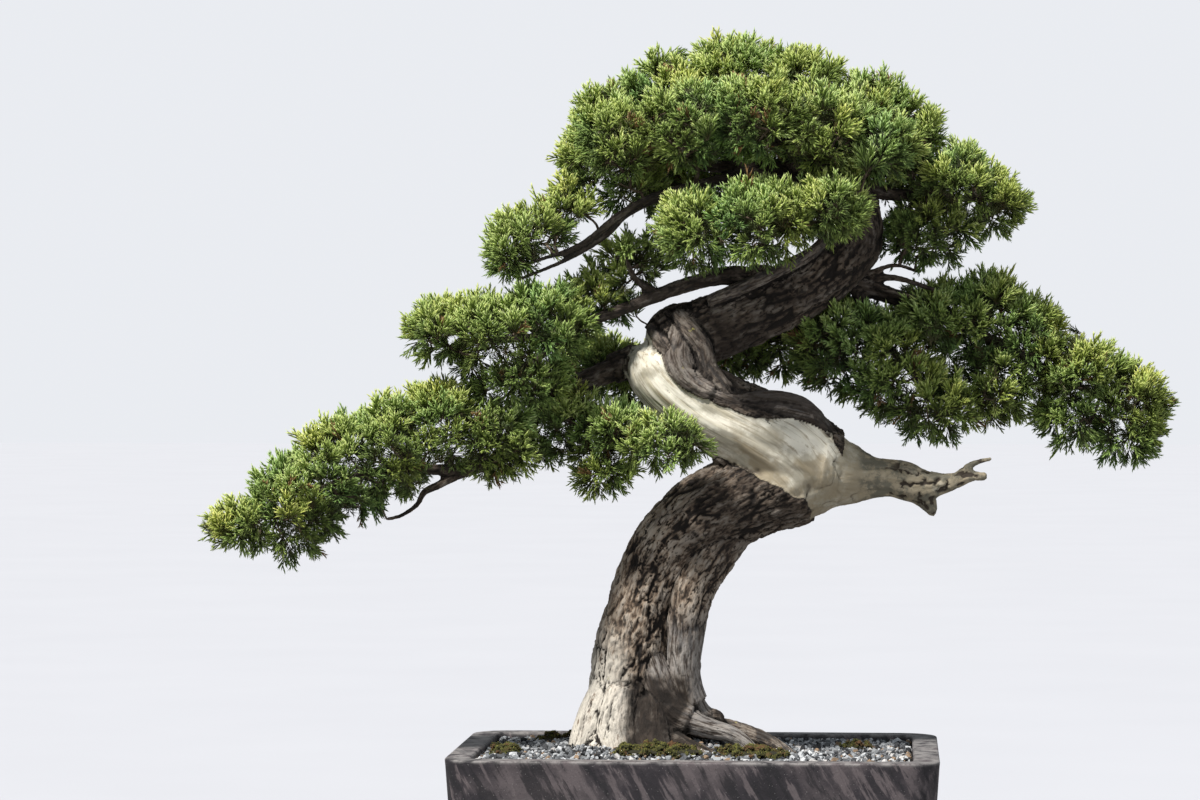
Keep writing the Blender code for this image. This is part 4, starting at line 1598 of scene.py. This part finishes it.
@dataclass
class Foliage:
    """Tufts of sprays over each pad, a filling darkened with painted shade, and the twigs that carry them.
    """

    spines: list[Spine]
    tuft_gap: float = 16.0
    tuft_depth: float = 20.0
    sprays_per_tuft: int = 11
    filling_gap: float = 15.0
    sprays_per_filling: int = 9
    stand_out: float = 2.5
    tufts_per_piece: int = 118
    seed: int = 5

    def __post_init__(self) -> None:
        """Reads the pads and prepares the sprays."""
        nodes = sorted(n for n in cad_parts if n.startswith("foliage_"))
        self.pads = [PadShape(node) for node in nodes]
        self.variants = [Spray().variant(seed) for seed in range(10)]
        plain = Spray(length=17.0, girth=0.85, side_cords=7, spread=0.75, plain=True)
        self.plain_variants = [plain.variant(seed) for seed in range(20, 26)]
        self.noise = Noise(7)
        self.wood = np.vstack([s.centres for s in self.spines])
        self.wood_radii = np.concatenate([s.radii for s in self.spines])
        self.branch = self.wood[self.wood_radii < 8.0]

    def clear_of_wood(self, points: Array, gap: float) -> Array:
        """Whether each point is at least a gap away from every limb."""
        away = np.linalg.norm(points[:, None] - self.wood[None, ::2], axis=2)
        return (away - self.wood_radii[None, ::2]).min(axis=1) > gap

    def outer_tufts(self, pad: PadShape, rng: np.random.Generator) -> Tufts:
        """Places the tufts on the outside of one pad.

        Args:
            pad: The pad's shape.
            rng: Where the choices come from.

        Returns:
            The tufts.
        """
        points, normals = pad.scatter(int(pad.areas.sum() / self.tuft_gap**2 * 8), rng)
        gaps = np.full(len(points), self.tuft_gap)
        others = [p.tree for p in self.pads if p is not pad]
        for i, (point, normal) in enumerate(zip(points, normals)):
            probe = Vector(point + normal * 5.0)
            if any(t.find_nearest(probe, 6.5)[0] is not None for t in others):
                gaps[i] *= 1.5
        gaps *= 1.0 + 0.35 * np.clip(-normals[:, 2] - 0.35, 0, 1)
        keep = self.clear_of_wood(points, 6.0)
        points, normals, gaps = points[keep], normals[keep], gaps[keep]
        chosen = spaced(points, gaps)
        points, normals = points[chosen], normals[chosen]
        away = np.linalg.norm(points[:, None] - self.branch[None], axis=2)
        outward = unit(points - self.branch[np.argmin(away, axis=1)])
        lift = np.where(normals[:, 2:] < -0.3, 0.10, 0.60)
        stray = rng.normal(0, 0.14, points.shape)
        axes = unit(0.75 * normals + 0.45 * outward + lift * (0, 0, 1) + stray)
        depth = self.tuft_depth * rng.uniform(0.85, 1.15, (len(points), 1))
        lumps = self.noise.at(points / 22.0)[:, None]
        hang = 7.0 * np.clip(-normals[:, 2:] - 0.2, 0, 1)
        bases = points + axes * (self.stand_out + hang + 5.0 * lumps - depth)
        # vigour_and_light grows with how far the pad faces up: fresher growth on top, and painted light
        # there too.
        vigour_and_light = np.clip(0.55 + 0.5 * normals[:, 2] + 0.25 * rng.normal(size=len(points)), 0.1, 1.0)
        return Tufts(bases, axes, vigour_and_light)

    def filling(self, pad: PadShape, rng: np.random.Generator) -> Tufts:
        """Places the sprays inside one pad, darkened with painted shade.

        Args:
            pad: The pad's shape.
            rng: Where the choices come from.

        Returns:
            The tufts of the filling.
        """
        points, normals = pad.scatter(int(pad.areas.sum() / self.filling_gap**2 * 5), rng)
        depths = np.array([min(20.0, 0.45 * pad.thickness(p, n)) for p, n in zip(points, normals)])
        points = points - normals * depths[:, None]
        keep = self.clear_of_wood(points, 4.0)
        points, normals = points[keep], normals[keep]
        chosen = spaced(points, np.full(len(points), self.filling_gap))
        points, normals = points[chosen], normals[chosen]
        axes = unit(0.5 * normals + (0, 0, 0.25) + rng.normal(0, 0.5, points.shape))
        return Tufts(points - axes * 8.0, axes, np.zeros(len(points)))

    def grow(self, pile: Pile, tufts: Tufts, rng: np.random.Generator, plain: bool) -> None:
        """Adds the sprays of some tufts.

        Args:
            pile: What they are added to.
            tufts: Where they grow.
            rng: Where the choices come from.
            plain: Whether they are the sprays of the filling, darkened with painted shade.
        """
        each = self.sprays_per_filling if plain else self.sprays_per_tuft
        variants = self.plain_variants if plain else self.variants
        total = len(tufts.bases) * each
        owner = np.repeat(np.arange(len(tufts.bases)), each)
        rank = np.tile(np.arange(each), len(tufts.bases)) / each
        swing = rng.uniform(0, 2 * math.pi, total)
        tilt = (1.5 if plain else 1.12) * np.sqrt(rank) * rng.uniform(0.8, 1.1, total)
        turn = turns_to(tufts.axes, rng.uniform(0, SPIN, len(tufts.axes)))[owner]
        local = np.column_stack(
            (np.sin(tilt) * np.cos(swing), np.sin(tilt) * np.sin(swing), np.cos(tilt))
        )
        ways = unit(np.einsum("nij,nj->ni", turn, local) + (0, 0, 0.18))
        starts = tufts.bases[owner] + tufts.axes[owner] * (rng.uniform(0, 5.0, (total, 1)) - 1.0)
        starts += ways * rng.uniform(1.0, 3.0, (total, 1))
        vigour_and_light = tufts.vigour_and_light[owner]
        size = rng.uniform(0.80, 1.12, total) * (1.08 - 0.22 * rank) * (0.80 + 0.25 * vigour_and_light)
        spin = turns_to(ways, rng.uniform(0, SPIN, total))
        hue = 0.50 + 0.30 * self.noise.at(starts / 55.0) + 0.18 * self.noise.at(starts / 17.0)
        hue += 0.16 * (vigour_and_light - 0.5)
        dry = rng.random(total) < 0.012
        # bright scales u down: tufts that face up keep more, partly fresh growth and partly painted light,
        # and the filling loses a quarter more as painted shade.
        bright = np.clip(0.50 + 0.48 * vigour_and_light + rng.normal(0, 0.10, total), 0.22, 1.0)
        bright = bright * 0.75 if plain else bright
        which = rng.integers(0, len(variants), total)
        for number, (points, faces, ages, hues) in enumerate(variants):
            mine = which == number
            if not mine.any():
                continue
            placed = np.einsum("nij,pj->npi", spin[mine], points) * size[mine, None, None]
            placed += starts[mine, None]
            u = np.clip(ages[None] * bright[mine, None], 0.01, 0.99)
            v = np.clip(hue[mine, None] + hues[None], 0.02, 0.93)
            v = np.where(dry[mine, None], 0.975 + hues[None] * 0.1, v)
            pile.add(placed, faces, np.stack((u, np.clip(v, 0.01, 0.99)), axis=2))

    def grow_twigs(self, pile: Pile, tufts: Tufts, rng: np.random.Generator) -> None:
        """Joins each tuft to the branches by twigs that fork.

        Args:
            pile: What the twigs are added to.
            tufts: Where they end.
            rng: Where the choices come from.
        """
        bases, axes = tufts.bases, tufts.axes
        order = np.argsort(np.linalg.norm(bases[:, None] - self.branch[None], axis=2).min(axis=1))
        centre = bases.mean(axis=0)
        reach = np.linalg.norm(bases - centre, axis=1).max() + 30
        close = self.branch[np.linalg.norm(self.branch - centre, axis=1) < reach]
        anchors = close if len(close) else self.branch
        spots, cost, parent = list(anchors), [0.0] * len(anchors), [-1] * len(anchors)
        for i in order:
            run = np.linalg.norm(np.array(spots) - bases[i], axis=1)
            source = int(np.argmin(run + 0.35 * np.array(cost)))
            middle = spots[source] * 0.45 + bases[i] * 0.55 + rng.normal(0, 0.07, 3) * run[source]
            for spot in (middle, bases[i] + axes[i] * 2.0):
                parent.append(source)
                cost.append(cost[source] + float(np.linalg.norm(spot - spots[source])))
                spots.append(spot)
                source = len(spots) - 1
        load = np.ones(len(spots))
        for i in range(len(spots) - 1, len(anchors) - 1, -1):
            if parent[i] >= len(anchors):
                load[parent[i]] += load[i]
        for i in range(len(anchors), len(spots)):
            start, end = spots[parent[i]], spots[i]
            thick = min(2.8, 0.60 + 0.22 * math.sqrt(load[i]))
            thin = max(0.5, thick * 0.8)
            middle = (start + end) / 2 + rng.normal(0, 0.05, 3) * np.linalg.norm(end - start)
            if np.linalg.norm(end - start) > 1.0:
                knots = [(*start, thick), (*middle, (thick + thin) / 2), (*end, thin)]
                pile.add(*Spine(knots, 9.0).tube(5))

    def build(self) -> None:
        """Builds every pad's foliage and twigs."""
        leaf, bark = FoliageFinish().material(), TwigFinish().material()
        for number, pad in enumerate(self.pads):
            rng = np.random.default_rng(self.seed + number)
            short = pad.node.removeprefix("foliage_")
            outer, inner = self.outer_tufts(pad, rng), self.filling(pad, rng)
            filling, twigs = Pile(), Pile()
            for side, part in outer.halves(self.tufts_per_piece).items():
                sprays = Pile()
                self.grow(sprays, part, rng, False)
                dress(sprays.make(f"sprays_{short}{side}"), leaf, Slot.FOLIAGE, pad.node)
            self.grow(filling, inner, rng, True)
            self.grow_twigs(twigs, outer, rng)
            dress(filling.make(f"filling_{short}"), leaf, Slot.FOLIAGE, pad.node)
            dress(twigs.make(f"twigs_{short}"), bark, Slot.WOOD)


# ---------------------------------------------------------------- pot, soil and moss


def rounded_outline(half_x: float, half_y: float, radius: float, arc: int, run: int) -> Array:
    """Points round a rectangle with round corners, anticlockwise.

    Args:
        half_x: Half its length.
        half_y: Half its depth.
        radius: The corners' radius.
        arc: Points on each corner.
        run: Points on each straight side.

    Returns:
        The outline's points, one row each.
    """
    arcs = []
    for sx, sy, start in ((1, -1, -90), (1, 1, 0), (-1, 1, 90), (-1, -1, 180)):
        centre = np.array((sx * (half_x - radius), sy * (half_y - radius)))
        angles = np.radians(start + np.linspace(0, 90, arc))
        arcs.append(centre + radius * np.column_stack((np.cos(angles), np.sin(angles))))
    share = np.linspace(0, 1, run + 2)[1:-1, None]
    points = []
    for corner, following in zip(arcs, arcs[1:] + arcs[:1]):
        points += [corner, corner[-1] * (1 - share) + following[0] * share]
    return np.vstack(points)


@dataclass
class Pot:
    """The clay pot, and the plastic screens over its drain holes."""

    wall: float = 22.0
    floor: float = 11.0
    foot_height: float = 12.0
    batter: float = 8.0
    outer_corner: float = 31.0
    inner_corner: float = 11.0
    drain_radius: float = 12.0
    drain_spacing: float = 190.0
    screen_holes: int = 11
    screen_rib: float = 1.1
    underside: float = 2.5
    edge: float = 1.7
    foot_x: float = 62.0
    foot_y: float = 48.0
    foot_inset: float = 24.0

    def __post_init__(self) -> None:
        """Takes the pot's size from the frame."""
        low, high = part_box("pot")
        self.half_x = (high.x - low.x) / 2 / MM
        self.half_y = (high.y - low.y) / 2 / MM
        self.height = high.z / MM

    def profile(self) -> list[tuple[float, float, float]]:
        """The wall's section from the underside, over the rim, to the inner floor.

        Returns:
            Rows of (inset from the outer rim line, height, corner radius).
        """
        rows = []
        lean = self.batter / self.height
        base, top, edge = self.foot_height, self.height, self.edge
        for angle in np.radians(np.linspace(-90, 0, 5)):
            z = base + self.underside + self.underside * math.sin(angle)
            inset = lean * (top - z) + self.underside * (1 - math.cos(angle))
            rows.append((inset, z, self.outer_corner))
        for z in np.linspace(base + 8, top - 6, 12):
            rows.append((lean * (top - z), z, self.outer_corner))
        for angle in np.radians(np.linspace(0, 90, 6)):
            z = top - edge + edge * math.sin(angle)
            rows.append((edge * (1 - math.cos(angle)), z, self.outer_corner))
        for share in np.linspace(0.12, 0.88, 8):
            inset = edge + share * (self.wall - 2 * edge)
            corner = self.outer_corner + share * (self.inner_corner - self.outer_corner)
            rows.append((inset, top - 0.12 * math.sin(math.pi * share), corner))
        for angle in np.radians(np.linspace(90, 0, 5)):
            z = top - edge * 0.8 + edge * 0.8 * math.sin(angle)
            rows.append((self.wall - edge * 0.8 * math.sin(angle), z, self.inner_corner))
        for z in np.linspace(top - 6, base + self.floor + 4, 6):
            rows.append((self.wall + lean * (top - z), z, self.inner_corner))
        floor = base + self.floor
        rows.append((self.wall + lean * (top - floor) + 3.0, floor, self.inner_corner - 3.0))
        return rows

    def build_foot(self, sx: int, sy: int) -> Object:
        """One foot, a little narrower at the ground.

        Args:
            sx: -1 on the left and 1 on the right.
            sy: -1 at the front and 1 at the back.

        Returns:
            The foot, still apart from the pot.
        """
        bm = bmesh.new()
        bmesh.ops.create_cube(bm, size=1.0)
        for vert in bm.verts:
            wide = 1.0 if vert.co.z > 0 else 0.92
            vert.co.x *= self.foot_x * wide * MM
            vert.co.y *= self.foot_y * wide * MM
            vert.co.z = (self.foot_height + 4 if vert.co.z > 0 else 0.0) * MM
        upright = [e for e in bm.edges if abs(e.verts[0].co.z - e.verts[1].co.z) > 1e-4]
        round_off = {"profile": 0.5, "affect": "EDGES"}
        bmesh.ops.bevel(bm, geom=upright, offset=9 * MM, segments=6, **round_off)
        lower = [e for e in bm.edges if all(v.co.z < 1e-4 for v in e.verts)]
        bmesh.ops.bevel(bm, geom=lower, offset=1.2 * MM, segments=3, **round_off)
        foot = from_bmesh("foot", bm)
        foot.location.x = sx * (self.half_x - self.foot_inset - self.foot_x / 2) * MM
        foot.location.y = sy * (self.half_y - self.foot_inset - self.foot_y / 2) * MM
        return foot

    def build_drain(self, side: int) -> Object:
        """What one drain hole takes out of the floor.

        Args:
            side: -1 on the left and 1 on the right.

        Returns:
            The cutter.
        """
        bm = bmesh.new()
        radius = self.drain_radius * MM
        bmesh.ops.create_cone(
            bm, cap_ends=True, segments=48, radius1=radius, radius2=radius, depth=60 * MM
        )
        drain = from_bmesh("drain", bm)
        drain.location = (side * self.drain_spacing / 2 * MM, 0, self.foot_height * MM)
        return drain

    def build_body(self) -> Object:
        """The pot itself, with its feet and drain holes.

        Returns:
            The pot.
        """
        rings = []
        for inset, z, corner in self.profile():
            ring = rounded_outline(self.half_x - inset, self.half_y - inset, corner, 15, 14)
            rings.append(np.column_stack((ring, np.full(len(ring), z))))
        points = np.array(rings)
        layers, around = points.shape[:2]
        pot = make_object("clay_pot", points.reshape(-1, 3), ring_quads(layers, around))
        bm = bmesh.new()
        bm.from_mesh(pot.data)
        bm.verts.ensure_lookup_table()
        bm.faces.new([bm.verts[i] for i in range(around)][::-1])
        bm.faces.new([bm.verts[i] for i in range((layers - 1) * around, layers * around)])
        bmesh.ops.recalc_face_normals(bm, faces=bm.faces)
        bm.to_mesh(pot.data)
        bm.free()
        corners = ((-1, -1), (1, -1), (1, 1), (-1, 1))
        helpers = [(self.build_foot(sx, sy), "UNION") for sx, sy in corners]
        helpers += [(self.build_drain(side), "DIFFERENCE") for side in (-1, 1)]
        for helper, operation in helpers:
            modifier = pot.modifiers.new(operation, "BOOLEAN")
            modifier.operation = operation
            modifier.object = helper
        evaluated(pot)
        for helper, _ in helpers:
            bpy.data.objects.remove(helper, do_unlink=True)
        pot.data.shade_smooth()
        pot.data.set_sharp_from_angle(angle=math.radians(50))
        return pot

    def build_screens(self, material: Material) -> None:
        """A square plastic mesh over each drain hole.

        Args:
            material: The plastic.
        """
        for node in ("drain_screen_left", "drain_screen_right"):
            low, high = (np.array(corner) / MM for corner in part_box(node))
            pitch = (high[0] - low[0] - self.screen_rib) / self.screen_holes
            starts = [i * pitch for i in range(self.screen_holes + 1)]
            lines = sorted(starts + [start + self.screen_rib for start in starts])
            bm = bmesh.new()
            grid = [
                [bm.verts.new(((low[0] + x) * MM, (low[1] + y) * MM, low[2] * MM)) for x in lines]
                for y in lines
            ]
            for j, (row, above) in enumerate(zip(grid, grid[1:])):
                for i in range(len(lines) - 1):
                    if i % 2 == 0 or j % 2 == 0:
                        bm.faces.new((row[i], row[i + 1], above[i + 1], above[i]))
            screen = from_bmesh(node.replace("drain_screen", "plastic_screen"), bm)
            solid = screen.modifiers.new("thickness", "SOLIDIFY")
            solid.thickness = (high[2] - low[2]) * MM
            solid.offset = 1.0
            dress(evaluated(screen), material, Slot.PLASTIC, node)

    def build(self) -> None:
        """Builds the pot and its screens."""
        dress(self.build_body(), ClayFinish().material(), Slot.CLAY, "pot")
        self.build_screens(PlasticFinish().material())


@dataclass
class SoilBed:
    """The earth in the pot and the crushed stone over it."""

    pot: Pot
    below_rim: float = 4.0
    mound: float = 15.0
    mound_radius: float = 62.0
    mound_centre: tuple[float, float] = (-40.0, 8.0)
    grain_gap: float = 4.1
    grain_sizes: tuple[float, ...] = (2.0, 2.9, 3.9, 5.0)
    grain_shares: tuple[float, ...] = (0.28, 0.32, 0.25, 0.15)
    stone_shapes: int = 9
    moss_rise: float = 7.5
    shoots_per_spot: int = 5
    gap: float = 0.3

    def __post_init__(self) -> None:
        """Prepares the noise that the bed, the grains and the moss follow."""
        self.noise = Noise(21)

    def height(self, x: Array, y: Array) -> Array:
        """Finds the soil's surface, level near the walls with a low mound at the trunk.

        Args:
            x: Places to the right.
            y: Places to the back.

        Returns:
            The surface's heights.
        """
        away = np.hypot(x - self.mound_centre[0], y - self.mound_centre[1]) / self.mound_radius
        return self.pot.height - self.below_rim + self.mound * np.exp(-away * away / 2)

    def inner(self, z: float) -> tuple[float, float]:
        """Half the length and half the depth of the pot's hollow at a height."""
        lean = self.pot.batter / self.pot.height * (self.pot.height - z)
        return self.pot.half_x - self.pot.wall - lean, self.pot.half_y - self.pot.wall - lean

    def build_earth(self) -> None:
        """Builds the dark bed, a closed block with an uneven top."""
        rings = []
        floor = self.pot.foot_height + self.pot.floor + self.gap
        top = self.pot.height - self.below_rim - 3.0
        corner = self.pot.inner_corner
        for z in (floor, floor + 30, top):
            half_x, half_y = self.inner(z)
            ring = rounded_outline(half_x - self.gap, half_y - self.gap, corner - 1, 7, 60)
            rings.append(np.column_stack((ring, np.full(len(ring), z))))
        half_x, half_y = self.inner(top)
        for share in np.linspace(0.97, 0.03, 44):
            ring = rounded_outline(half_x - self.gap, half_y - self.gap, corner - 1, 7, 60) * share
            flat_ring = np.column_stack((ring, ring[:, :1] * 0))
            z = self.height(*ring.T) - 3.0 + 1.2 * self.noise.layered(flat_ring / 9, 2)
            rings.append(np.column_stack((ring, z)))
        points = np.array(rings)
        layers, around = points.shape[:2]
        walls = ring_quads(layers, around)
        flat = points.reshape(-1, 3)
        middle = np.array(((0, 0, floor), (0, 0, flat[-around:, 2].mean())))
        first, last = np.arange(around), np.arange(around) + (layers - 1) * around
        under, over = fan(first, len(flat))[:, [1, 0, 2]], fan(last, len(flat) + 1)
        triangles = np.vstack((walls[:, [0, 1, 2]], walls[:, [0, 2, 3]], under, over))
        earth = make_object("earth_bed", np.vstack((flat, middle)), triangles)
        dress(earth, EarthFinish().material(), Slot.SOIL, "soil")

    def stones(self, rng: np.random.Generator) -> list[Pair]:
        """Makes a few small angular stones about one unit across.

        Args:
            rng: Where their shapes come from.

        Returns:
            The points and triangles of each.
        """
        made = []
        for _ in range(self.stone_shapes):
            bm = bmesh.new()
            for point in unit(rng.normal(size=(11, 3))) * rng.uniform(0.8, 1.1, (11, 1)):
                bm.verts.new(point)
            bmesh.ops.convex_hull(bm, input=bm.verts)
            loose = [v for v in bm.verts if not v.link_faces]
            bmesh.ops.delete(bm, geom=loose, context="VERTS")
            bmesh.ops.triangulate(bm, faces=bm.faces)
            mesh = bpy.data.meshes.new("grain")
            bm.to_mesh(mesh)
            bm.free()
            points, faces = mesh_arrays(mesh)
            made.append((points * MM, faces))
            bpy.data.meshes.remove(mesh)
        return made

    def build_grit(self) -> None:
        """Builds the crushed grains over the bed."""
        rng = np.random.default_rng(3)
        templates = self.stones(rng)
        half_x, half_y = self.inner(self.pot.height - self.below_rim)
        xs = np.arange(-half_x + 2, half_x - 2, self.grain_gap)
        ys = np.arange(-half_y + 2, half_y - 2, self.grain_gap)
        spots = np.array([(x, y) for y in ys for x in xs])
        spots = spots + rng.uniform(-1.3, 1.3, spots.shape)
        corner = self.pot.inner_corner
        beyond = np.abs(spots) - (half_x - corner - 1, half_y - corner - 1)
        spots = spots[np.hypot(*np.maximum(beyond, 0).T) < corner - 1.5]
        count = len(spots)
        sizes = rng.choice(self.grain_sizes, count, p=self.grain_shares)
        sizes = sizes * rng.uniform(0.85, 1.15, count)
        heights = self.height(*spots.T) + rng.uniform(-2.4, 1.0, count) - 0.4 * sizes
        centres = np.column_stack((spots, heights))
        turn = turns_to(unit(rng.normal(size=(count, 3))), rng.uniform(0, SPIN, count))
        squash = rng.uniform(0.65, 1.0, (count, 1, 3))
        patch = self.noise.at(centres / 30.0)
        kind = np.clip(rng.normal(0.40 + 0.16 * patch, 0.27, count), 0.03, 0.84)
        kind = np.where(rng.random(count) < 0.05, 0.95, kind)
        which = rng.integers(0, len(templates), count)
        pile = Pile()
        for number, (points, faces) in enumerate(templates):
            mine = which == number
            placed = np.einsum("nij,npj->npi", turn[mine], points[None] * squash[mine])
            placed = placed * sizes[mine, None, None] + centres[mine, None]
            spread = (np.arange(len(points)) % 3 - 1) * 0.006
            u = kind[mine, None] + spread[None]
            v = np.clip(0.5 + 0.35 * points[None, :, 2] + 0 * u, 0.02, 0.98)
            pile.add(placed, faces, np.stack((u, v), axis=2))
        grit = pile.make("grit_grains")
        polygons = grit.data.polygons
        polygons.foreach_set("use_smooth", np.zeros(len(polygons), bool))
        dress(grit, GritFinish().material(), Slot.SOIL, "soil")

    def build_moss(self) -> None:
        """Builds cushions of short shoots where the frame has its moss patches."""
        noise = self.noise
        material = MossFinish().material()
        rng = np.random.default_rng(8)
        angles = np.arange(3) * 2 * math.pi / 3
        ring = np.column_stack((np.cos(angles), np.sin(angles), 0 * angles)) * 0.34
        spike = np.vstack((ring, ((0, 0, 1.0),)))
        faces = np.array(((0, 1, 3), (1, 2, 3), (2, 0, 3), (2, 1, 0)))
        for node in sorted(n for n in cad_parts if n.startswith("moss_")):
            low, high = (np.array(corner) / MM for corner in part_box(node))
            centre, half = (low + high) / 2, (high - low) / 2
            count = int(half[0] * half[1] * 3.4)
            spots = rng.uniform(-1, 1, (count, 2))
            ragged = 0.95 + 0.75 * noise.at(np.column_stack((spots * half[:2] / 7.0, np.zeros(count))))
            radius = np.hypot(*spots.T) / ragged
            spots, radius = spots[radius < 1], radius[radius < 1]
            count = len(spots)
            ground = centre[:2] + spots * half[:2]
            lumps = noise.layered(np.column_stack((ground / 9, 0 * radius)), 2)
            rise = self.moss_rise * np.sqrt(1 - radius**2) * (0.60 + 1.4 * lumps)
            rise = np.clip(rise, 0, self.moss_rise)
            base = np.column_stack((ground, self.height(*ground.T) - 2.0 + rise))
            owner = np.repeat(np.arange(count), self.shoots_per_spot)
            lean = unit(rng.normal(size=(len(owner), 3)) * (0.8, 0.8, 0.4) + (0, 0, 1.0))
            turn = turns_to(lean, rng.uniform(0, SPIN, len(owner)))
            length = rng.uniform(1.5, 3.0, (len(owner), 1, 1))
            placed = np.einsum("nij,pj->npi", turn, spike * (1.3, 1.3, 1.0)) * length
            placed = placed + base[owner][:, None]
            rust = 0.50 + 0.45 * noise.layered(base / 10.0, 2)[owner]
            rust = rust + 0.10 * rng.normal(size=len(owner))
            tips = np.array((0.06, 0.10, 0.14, 1.0))[None] * rng.uniform(0.6, 0.98, (len(owner), 1))
            hue = np.clip(rust[:, None] + np.array((-0.006, 0.006, 0.0, 0.0)), 0.02, 0.98)
            pile = Pile()
            pile.add(placed, faces, np.stack((tips, hue), axis=2))
            self.add_cushion(pile, node)
            dress(pile.make(f"shoots_{node}"), material, Slot.MOSS, node)

    def add_cushion(self, pile: Pile, node: str) -> None:
        """Adds the dark mat under a patch's shoots.

        Args:
            pile: What it is added to.
            node: The patch's CAD node.
        """
        points, faces = mesh_arrays(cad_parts[node].data)
        middle = points.mean(axis=0)
        shrunk = middle + (points - middle) * (0.86, 0.86, 0.55)
        number = np.arange(len(points))
        uv = np.column_stack((0.05 + 0.02 * (number % 2), 0.3 + 0.02 * (number % 3)))
        pile.add(shrunk, faces, uv)

    def build(self) -> None:
        """Builds the bed, the grains and the moss."""
        self.build_earth()
        self.build_grit()
        self.build_moss()


# ---------------------------------------------------------------- studio


@dataclass
class Studio:
    """A plain pale floor, soft light and the camera."""

    camera_place: Place = (0.166, -3.442, 0.448)
    camera_turn: float = 4.17
    camera_dip: float = 0.461
    lens: float = 119.3
    half_floor: float = 20.0
    background: Rgb = (0.82, 0.84, 0.88)
    pale_floor: tuple[tuple[float, Rgb], ...] = (
        (0.3, (0.553, 0.568, 0.624)), (0.7, (0.567, 0.582, 0.638)),
    )
    sky: tuple[float, ...] = (0.88, 0.94, 1.0, 1.0)
    ambient: float = 0.33
    sun: float = 4.8
    sun_softness: float = 6.0
    sun_way: Place = (0.85, 0.85, -1.75)
    fill: float = 9.0
    fill_size: float = 1.6
    fill_place: Place = (1.8, -2.4, 1.0)
    middle: Place = (0.0, 0.0, 0.42)
    bounce: Rgb = (0.22, 0.22, 0.22)

    def build_floor(self) -> None:
        """A wide pale floor under the pot's feet."""
        square = np.array(((-1, -1, 0), (1, -1, 0), (1, 1, 0), (-1, 1, 0)), float)
        sheet = square * (self.half_floor / MM)
        floor = make_object("studio_floor", sheet, np.array(((0, 1, 2, 3),)))
        g = Graph("floor_finish")
        cloud = g.noise(g.place(), 3.0, 2.0)
        pale = g.ramp(cloud, self.pale_floor)
        seen = g.node("ShaderNodeLightPath").outputs["Is Camera Ray"]
        floor.data.materials.append(g.finish(g.mix(seen, self.bounce, pale), 0.8))
        floor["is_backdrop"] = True

    def build_world(self) -> None:
        """A pale surrounding that the camera sees brighter than it lights."""
        world = bpy.data.worlds.new("studio_world")
        bpy.context.scene.world = world
        world.use_nodes = True
        tree = world.node_tree
        glow = tree.nodes["Background"]
        glow.inputs["Color"].default_value = self.sky
        glow.inputs["Strength"].default_value = self.ambient
        seen = tree.nodes.new("ShaderNodeBackground")
        seen.inputs["Color"].default_value = (*self.background, 1.0)
        mix = tree.nodes.new("ShaderNodeMixShader")
        path = tree.nodes.new("ShaderNodeLightPath")
        tree.links.new(path.outputs["Is Camera Ray"], mix.inputs[0])
        tree.links.new(glow.outputs[0], mix.inputs[1])
        tree.links.new(seen.outputs[0], mix.inputs[2])
        tree.links.new(mix.outputs[0], tree.nodes["World Output"].inputs["Surface"])

    def add_light(
        self, kind: str, name: str, power: float, colour: Rgb, way: Vector
    ) -> Object:
        """Adds a light.

        Args:
            kind: The light's Blender type.
            name: Its name.
            power: How strong it is.
            colour: Its colour.
            way: The direction in which it shines.

        Returns:
            The light's object.
        """
        light = bpy.data.lights.new(name, kind)
        light.energy = power
        light.color = colour
        obj = bpy.data.objects.new(name, light)
        obj.rotation_euler = way.to_track_quat("-Z", "Y").to_euler()
        bpy.context.scene.collection.objects.link(obj)
        return obj

    def build_lights(self) -> None:
        """The key sun from above the tree's left shoulder, and a broad fill from its right."""
        key = self.add_light("SUN", "key", self.sun, (1.0, 0.965, 0.90), Vector(self.sun_way))
        key.data.angle = math.radians(self.sun_softness)
        way = Vector(self.middle) - Vector(self.fill_place)
        fill = self.add_light("AREA", "fill", self.fill, (0.92, 0.96, 1.0), way)
        fill.data.shape = "SQUARE"
        fill.data.size = self.fill_size
        fill.location = self.fill_place

    def build_camera(self) -> None:
        """The camera in front of the tree, a little to its right."""
        data = bpy.data.cameras.new("camera")
        data.lens = self.lens
        data.sensor_width = 36.0
        data.clip_end = 100.0
        camera = bpy.data.objects.new("camera", data)
        camera.location = self.camera_place
        dip, turn = math.radians(90 - self.camera_dip), math.radians(self.camera_turn)
        camera.rotation_euler = (dip, 0.0, turn)
        bpy.context.scene.collection.objects.link(camera)
        bpy.context.scene.camera = camera

    def build(self) -> None:
        """Builds the floor, the surroundings, the lights and the camera."""
        self.build_floor()
        self.build_world()
        self.build_lights()
        self.build_camera()
        bpy.context.scene.view_settings.view_transform = "Standard"


def corners(bounds: tuple) -> list[list[float]]:
    """A box's two corners as plain lists."""
    return [[float(v) for v in corner] for corner in bounds]


def main() -> None:
    """Builds every sub-assembly in order."""
    logging.basicConfig(level=logging.INFO, format="%(name)s %(message)s")
    cad_box = corners(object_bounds())
    Studio().build()
    pot = Pot()
    pot.build()
    SoilBed(pot).build()
    spines = Wood().build()
    Foliage(spines).build()
    {"cad": cad_box, "visual": corners(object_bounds())}


if __name__ == "__main__":
    main()
